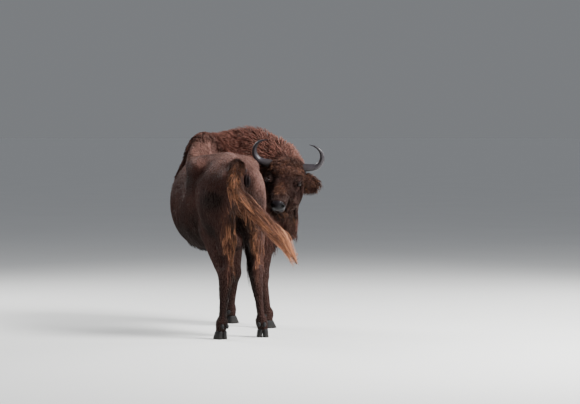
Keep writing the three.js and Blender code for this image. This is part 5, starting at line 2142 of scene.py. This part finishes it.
    def crown_length(self, roots: Roots) -> Array:
        """Shorter down the forehead and near the eyes."""
        forehead = mix(1.0, 0.45, step(HEAD.local(roots.place)[:, 0], 0.05, 0.20))
        return mix(0.40, 1.0, self.off_eyes(roots.place, 0.06, 0.15)) * forehead

    def cheek_length(self, roots: Roots) -> Array:
        """Shorter near the eyes."""
        return mix(0.4, 1.0, self.off_eyes(roots.place, 0.05, 0.11))

    def face_length(self, roots: Roots) -> Array:
        """Shorter towards the muzzle, and shortest round the eyes."""
        length = mix(1.7, 0.8, step(HEAD.local(roots.place)[:, 0], 0.24, 0.44))
        return length * mix(0.45, 1.0, self.off_eyes(roots.place, 0.026, 0.060))

    def lashes(self) -> None:
        """A row of stiff lashes along each upper lid."""
        count = 60
        for eye in self.hide.face.eyes:
            share = np.linspace(-0.9, 0.9, count)
            along, above = share * eye.width, 0.08 + eye.height * (1 - np.abs(share) ** 2.2)
            flat = np.cos(along)[:, None] * eye.out + np.sin(along)[:, None] * eye.nose
            way = np.cos(above)[:, None] * flat + np.sin(above)[:, None] * eye.up
            lie = unit(way + 0.5 * share[:, None] * eye.nose - 0.35 * eye.up)
            out = unit(eye.up - lie * (lie @ eye.up)[:, None])
            uv = np.stack([0.45 + 0.0005 * np.arange(count), np.full(count, 0.15)], 1)
            marks = even_marks(count, dark=1.0)
            roots = Roots(eye.centre + way * (eye.radius + 0.003), out, lie, uv, marks)
            stiff = Growth((0.012, 0.018), 0.0013, (-0.002, 0.001), rings=3, turn=0.25, hug=False)
            self.barber.grow(f"lashes_{eye.side.word}", roots, stiff, self.short)

    def off_eyes(self, p: Array, near: float, far: float) -> Array:
        """0 close to the middle of an eye, and 1 further off."""
        gap = [np.linalg.norm(p - eye.centre, axis=1) for eye in self.hide.face.eyes]
        return step(np.minimum(*gap), near, far)

    def ear_hair(self) -> None:
        """Hair along the ears, with a long fringe round their edges."""
        for ear in self.ears:
            mesh, path = ear.surface(), ear.path()
            out = mesh.normals()
            rib = unit(path[-1] - path[0])
            count, sides = len(path), ear.sides
            share = np.append(np.repeat(np.linspace(0, 1, count), sides), [0, 1])
            turn = np.linspace(0, 2 * np.pi, sides, endpoint=False)
            rim = np.append(np.tile(np.abs(np.cos(turn)), count), [0, 1])
            edge = unit(mesh.points - np.vstack([np.repeat(path, sides, 0), path[:1], path[-1:]]))
            edging = rim[:, None] ** 4
            lie = rib * 0.8 + edge * edging * 0.9 - UP * 0.35
            lie = unit(lie - out * (lie * out).sum(1)[:, None] * (1 - edging))
            uv = np.stack([0.76 + 0.2 * share, 0.02 + 0.18 * (out[:, 1] * 0.5 + 0.5)], 1)
            marks = even_marks(len(out), dark=0.86, ginger=0.05, wool=0.4)
            ground = Ground(mesh, out, lie, uv, marks)
            beyond = step(share, 0.25, 0.4)
            over = ground.roots(beyond, 1700, self.rng)
            fine = Growth((0.024, 0.048), 0.0046, (0.006, 0.018), thick=0.25, turn=0.7, hug=False,
                          lock=6, contrast=0.45)
            self.barber.grow(f"coat_ear_{ear.side.word}", over, fine, self.short)
            fringe = ground.roots(beyond * (rim > 0.75), 900, self.rng)
            free = Growth((0.050, 0.100), 0.0050, (0.001, 0.008), rings=3, thick=0.3, turn=0.6,
                          curl=0.006, fall=0.75, hug=False, lock=8, gather=0.4, contrast=0.5)
            self.barber.grow(f"fringe_ear_{ear.side.word}", fringe, free, self.long)

    def hangings(self) -> None:
        """Long locks that hang: beard, throat, chest, elbows and the backs of the thighs."""
        v = self.survey
        q, z = v.q, v.p[:, 2]
        beard = v.on_head * step(-q[:, 2], 0.14, 0.20) * (1 - step(q[:, 0], 0.35, 0.42))
        low = v.mane * (1 - step(z, 1.02, 1.14)) * (v.on_leg < 0.5)
        lock = Growth((0.13, 0.25), 0.0080, (0.030, 0.080), rings=5, thick=0.35, turn=0.5, curl=0.012,
                      fall=0.6, lock=16, gather=0.75)
        throat = np.clip(2.0 * beard + 1.5 * low, 0, 2)
        self.patch("mane_throat", throat, 5000, lock, self.woolly, self.mane_length)
        back = v.backward()
        breech = v.on_hind * step(back, 0.20, 0.80) * band(z, 0.52, 0.66, 0.88, 1.05)
        wisp = Growth((0.08, 0.18), 0.0055, (0.005, 0.026), rings=5, thick=0.3, turn=0.35, curl=0.010,
                      fall=0.22, lock=14, gather=0.8, contrast=0.4)
        self.patch("locks_thighs", breech, 1900, wisp, self.long)
        elbow = v.on_fore * step(back, 0.3, 0.8) * band(z, 0.42, 0.55, 0.75, 0.9)
        belly = step(-v.n[:, 2], 0.6, 0.9) * band(v.s, 0.75, 0.95, 1.35, 1.45)
        trim = Growth((0.05, 0.09), 0.0075, (0.004, 0.014), rings=4, thick=0.3, turn=0.35, curl=0.008,
                      fall=0.3)
        self.patch("fringe_belly", elbow + 0.5 * belly * (v.on_leg < 0.5), 1200, trim, self.long)

    def mane_length(self, roots: Roots) -> Array:
        """Longer under the throat and shorter towards the chin."""
        return mix(1.0, 0.42, step(HEAD.local(roots.place)[:, 0], 0.26, 0.40))

    def tail_hair(self) -> None:
        """Short hair on the dock, a stream of long hair along the tail, and loose hanging locks."""
        path, rng, sides = self.tail.path(), self.rng, self.tail.sides
        surface = self.tail.surface()
        share = np.append(np.repeat(np.linspace(0, 1, len(path)), sides), [0, 1])
        ahead = unit(np.gradient(path, axis=0))
        lie = np.vstack([np.repeat(ahead, sides, 0), ahead[:1], ahead[-1:]])
        turn = np.append(np.tile(np.arange(sides) / sides, len(path)), [0, 0])
        uv = np.stack([0.52 + 0.2 * share, 0.02 + 0.18 * turn], 1)
        ginger = 0.06 + 0.66 * step(share, 0.07, 0.30) + 0.28 * step(share, 0.5, 0.8)
        marks = {"dark": 0.75 * (1 - step(share, 0.15, 0.6)), "lit": 0.6 * step(share, 0.5, 0.9),
                 "ginger": ginger, "wool": 0 * share}
        ground = Ground(surface, surface.normals(), lie, uv, marks)
        dock = ground.roots(1 - step(share, 0.30, 0.55), 2000, rng)
        tuft = Growth((0.045, 0.085), 0.0060, (0.014, 0.040), thick=0.3, turn=0.4, fall=0.2, hug=False)
        self.barber.grow("coat_dock", dock, tuft, self.short)
        stream = step(share, 0.06, 0.25) * (1 - 0.75 * step(share, 0.6, 0.85))
        self.strands("tail_stream", ground.roots(stream, 1350, rng), path, (0.20, 0.46), 0.0)
        loose = ground.roots(band(share, 0.10, 0.18, 0.42, 0.62), 650, rng)
        self.strands("tail_loose", loose, path, (0.10, 0.28), 1.0)

    def strands(self, name: str, roots: Roots, path: Array, length: tuple[float, float], drop: float) -> None:
        """Long hair that streams along the tail and falls away from it.

        Each strand follows the tail's own line, at a distance that swells and sinks again along its
        length. A drop of 1 lets it hang from its root instead.
        """
        rng, count, rings = self.rng, len(roots), 7
        span = lengths(path)
        nearest = ((roots.place[:, None] - path[None]) ** 2).sum(-1).argmin(1)
        start = span[nearest]
        lock = drift(roots.place, 0.035, 21)
        reach = np.minimum(rng.uniform(*length, count), span[-1] + rng.uniform(-0.10, 0.035, count) - start)
        reach = np.maximum(reach, 0.05)
        away = (0.5 + 0.35 * lock + rng.uniform(-0.15, 0.15, count)) * 0.075
        weight = (0.6 + 0.5 * lock + rng.uniform(-0.15, 0.15, count)) * (0.10 if not drop else 0.8)
        leader, follow = leaders(roots.place, 20), rng.uniform(0.45, 0.95, (count, 1))
        phase = 4.0 * drift(roots.place, 0.06, 23) + rng.uniform(-0.5, 0.5, (2, count)) + [[0.0], [1.6]]
        width = 0.0032 * rng.uniform(0.6, 1.3, count)
        end = unit(path[-1] - path[-4])
        points = np.empty((count, rings * 3 + 1, 3))
        centre = roots.place - roots.out * 0.002
        for k in range(rings + 1):
            t = (k / rings) ** 0.9
            along = start + reach * t * (1 - 0.85 * drop)
            on_line = np.stack([np.interp(along, span, path[:, a]) for a in range(3)], -1)
            beyond = np.clip(along - span[-1], 0, 1)[:, None] * end
            sway = np.sin(phase + 3.6 * t) * 0.010 * t * (1 - 0.6 * t)
            rise = away * math.sin(math.pi * min(t, 0.8) ** 0.7) + 0.008
            middle = on_line + beyond + roots.out * rise[:, None]
            middle = middle - UP * (reach * np.clip(weight, 0, 1) * t**1.15)[:, None]
            middle = middle + np.cross(roots.out, roots.lie) * sway[0][:, None] + roots.out * sway[1][:, None]
            middle = mix(centre, middle, step(np.array(t), -0.01, 0.25))
            middle = mix(middle, middle[leader], follow * t)
            if k:
                value, gradient = self.barber.lattice.sample(middle)
                lifted = np.clip(0.012 - value, 0, 0.05)[:, None] * unit(gradient)
                middle = middle + lifted * (middle[:, :1] < -0.55)
            if k == rings:
                points[:, -1] = middle
                continue
            way = unit(middle - centre) if k else roots.lie
            side = unit(np.cross(way, roots.out + 0.01))
            half = (width * (1 - 0.85 * t**1.5) / 2)[:, None]
            set_ring(points, k, middle, side * half, np.cross(side, way) * half)
            centre = middle if k else centre
        growth = Growth(length, 0.005, (0, 0), rings=rings, lock=20, contrast=0.6)
        self.barber.piece(name, points, roots, growth, self.long, rng)


@dataclass
class Wisent:
    """The whole animal."""

    def build(self) -> None:
        """Makes the skin, then what sits in it, then the coat."""
        hide = Hide()
        body = hide.build()
        survey = Survey(hide, body)
        ears, tail = [Ear(side) for side in Side], Tail()
        extras = [ear.surface() for ear in ears] + [tail.surface()]
        values = survey.values()
        count = sum(len(m.points) for m in extras)
        constant = {"dark": 0.5, "wool": 0.3, "ginger": 0.2}
        values = {k: np.append(v, np.full(count, constant.get(k, 0.0))) for k, v in values.items()}
        finish = SkinFinish().material()
        skin = make_piece("skin", body.plus(*extras), finish)
        write_values(skin, values)
        flesh = ("trunk", "neck", "head", "tail", "leg", "ear")
        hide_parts(*[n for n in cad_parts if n.split("_")[0] in flesh])
        eye_finish, horn_finish = EyeFinish().material(), HornFinish().material()
        for spot in hide.face.eyes:
            Eye(spot).build(eye_finish, finish)
        for side in Side:
            Horn(side).build(horn_finish)
        hoof_finish = HoofFinish().material()
        for leg in LEGS:
            Foot(leg).build(hoof_finish)
        Coat(hide, survey, ears, tail).build()


def write_sizes(before: object, after: object) -> None:
    """Gathers the box of the solid model and of the finished one as plain lists, and writes them nowhere."""
    boxes = {name: [[float(c) for c in corner] for corner in box]
             for name, box in (("solid", before), ("finished", after))}


def main() -> None:
    """Builds the animal, then the studio."""
    logging.basicConfig(level=logging.INFO, format="%(message)s")
    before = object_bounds()
    Wisent().build()
    Studio().build()
    write_sizes(before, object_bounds())


if __name__ == "__main__":
    main()
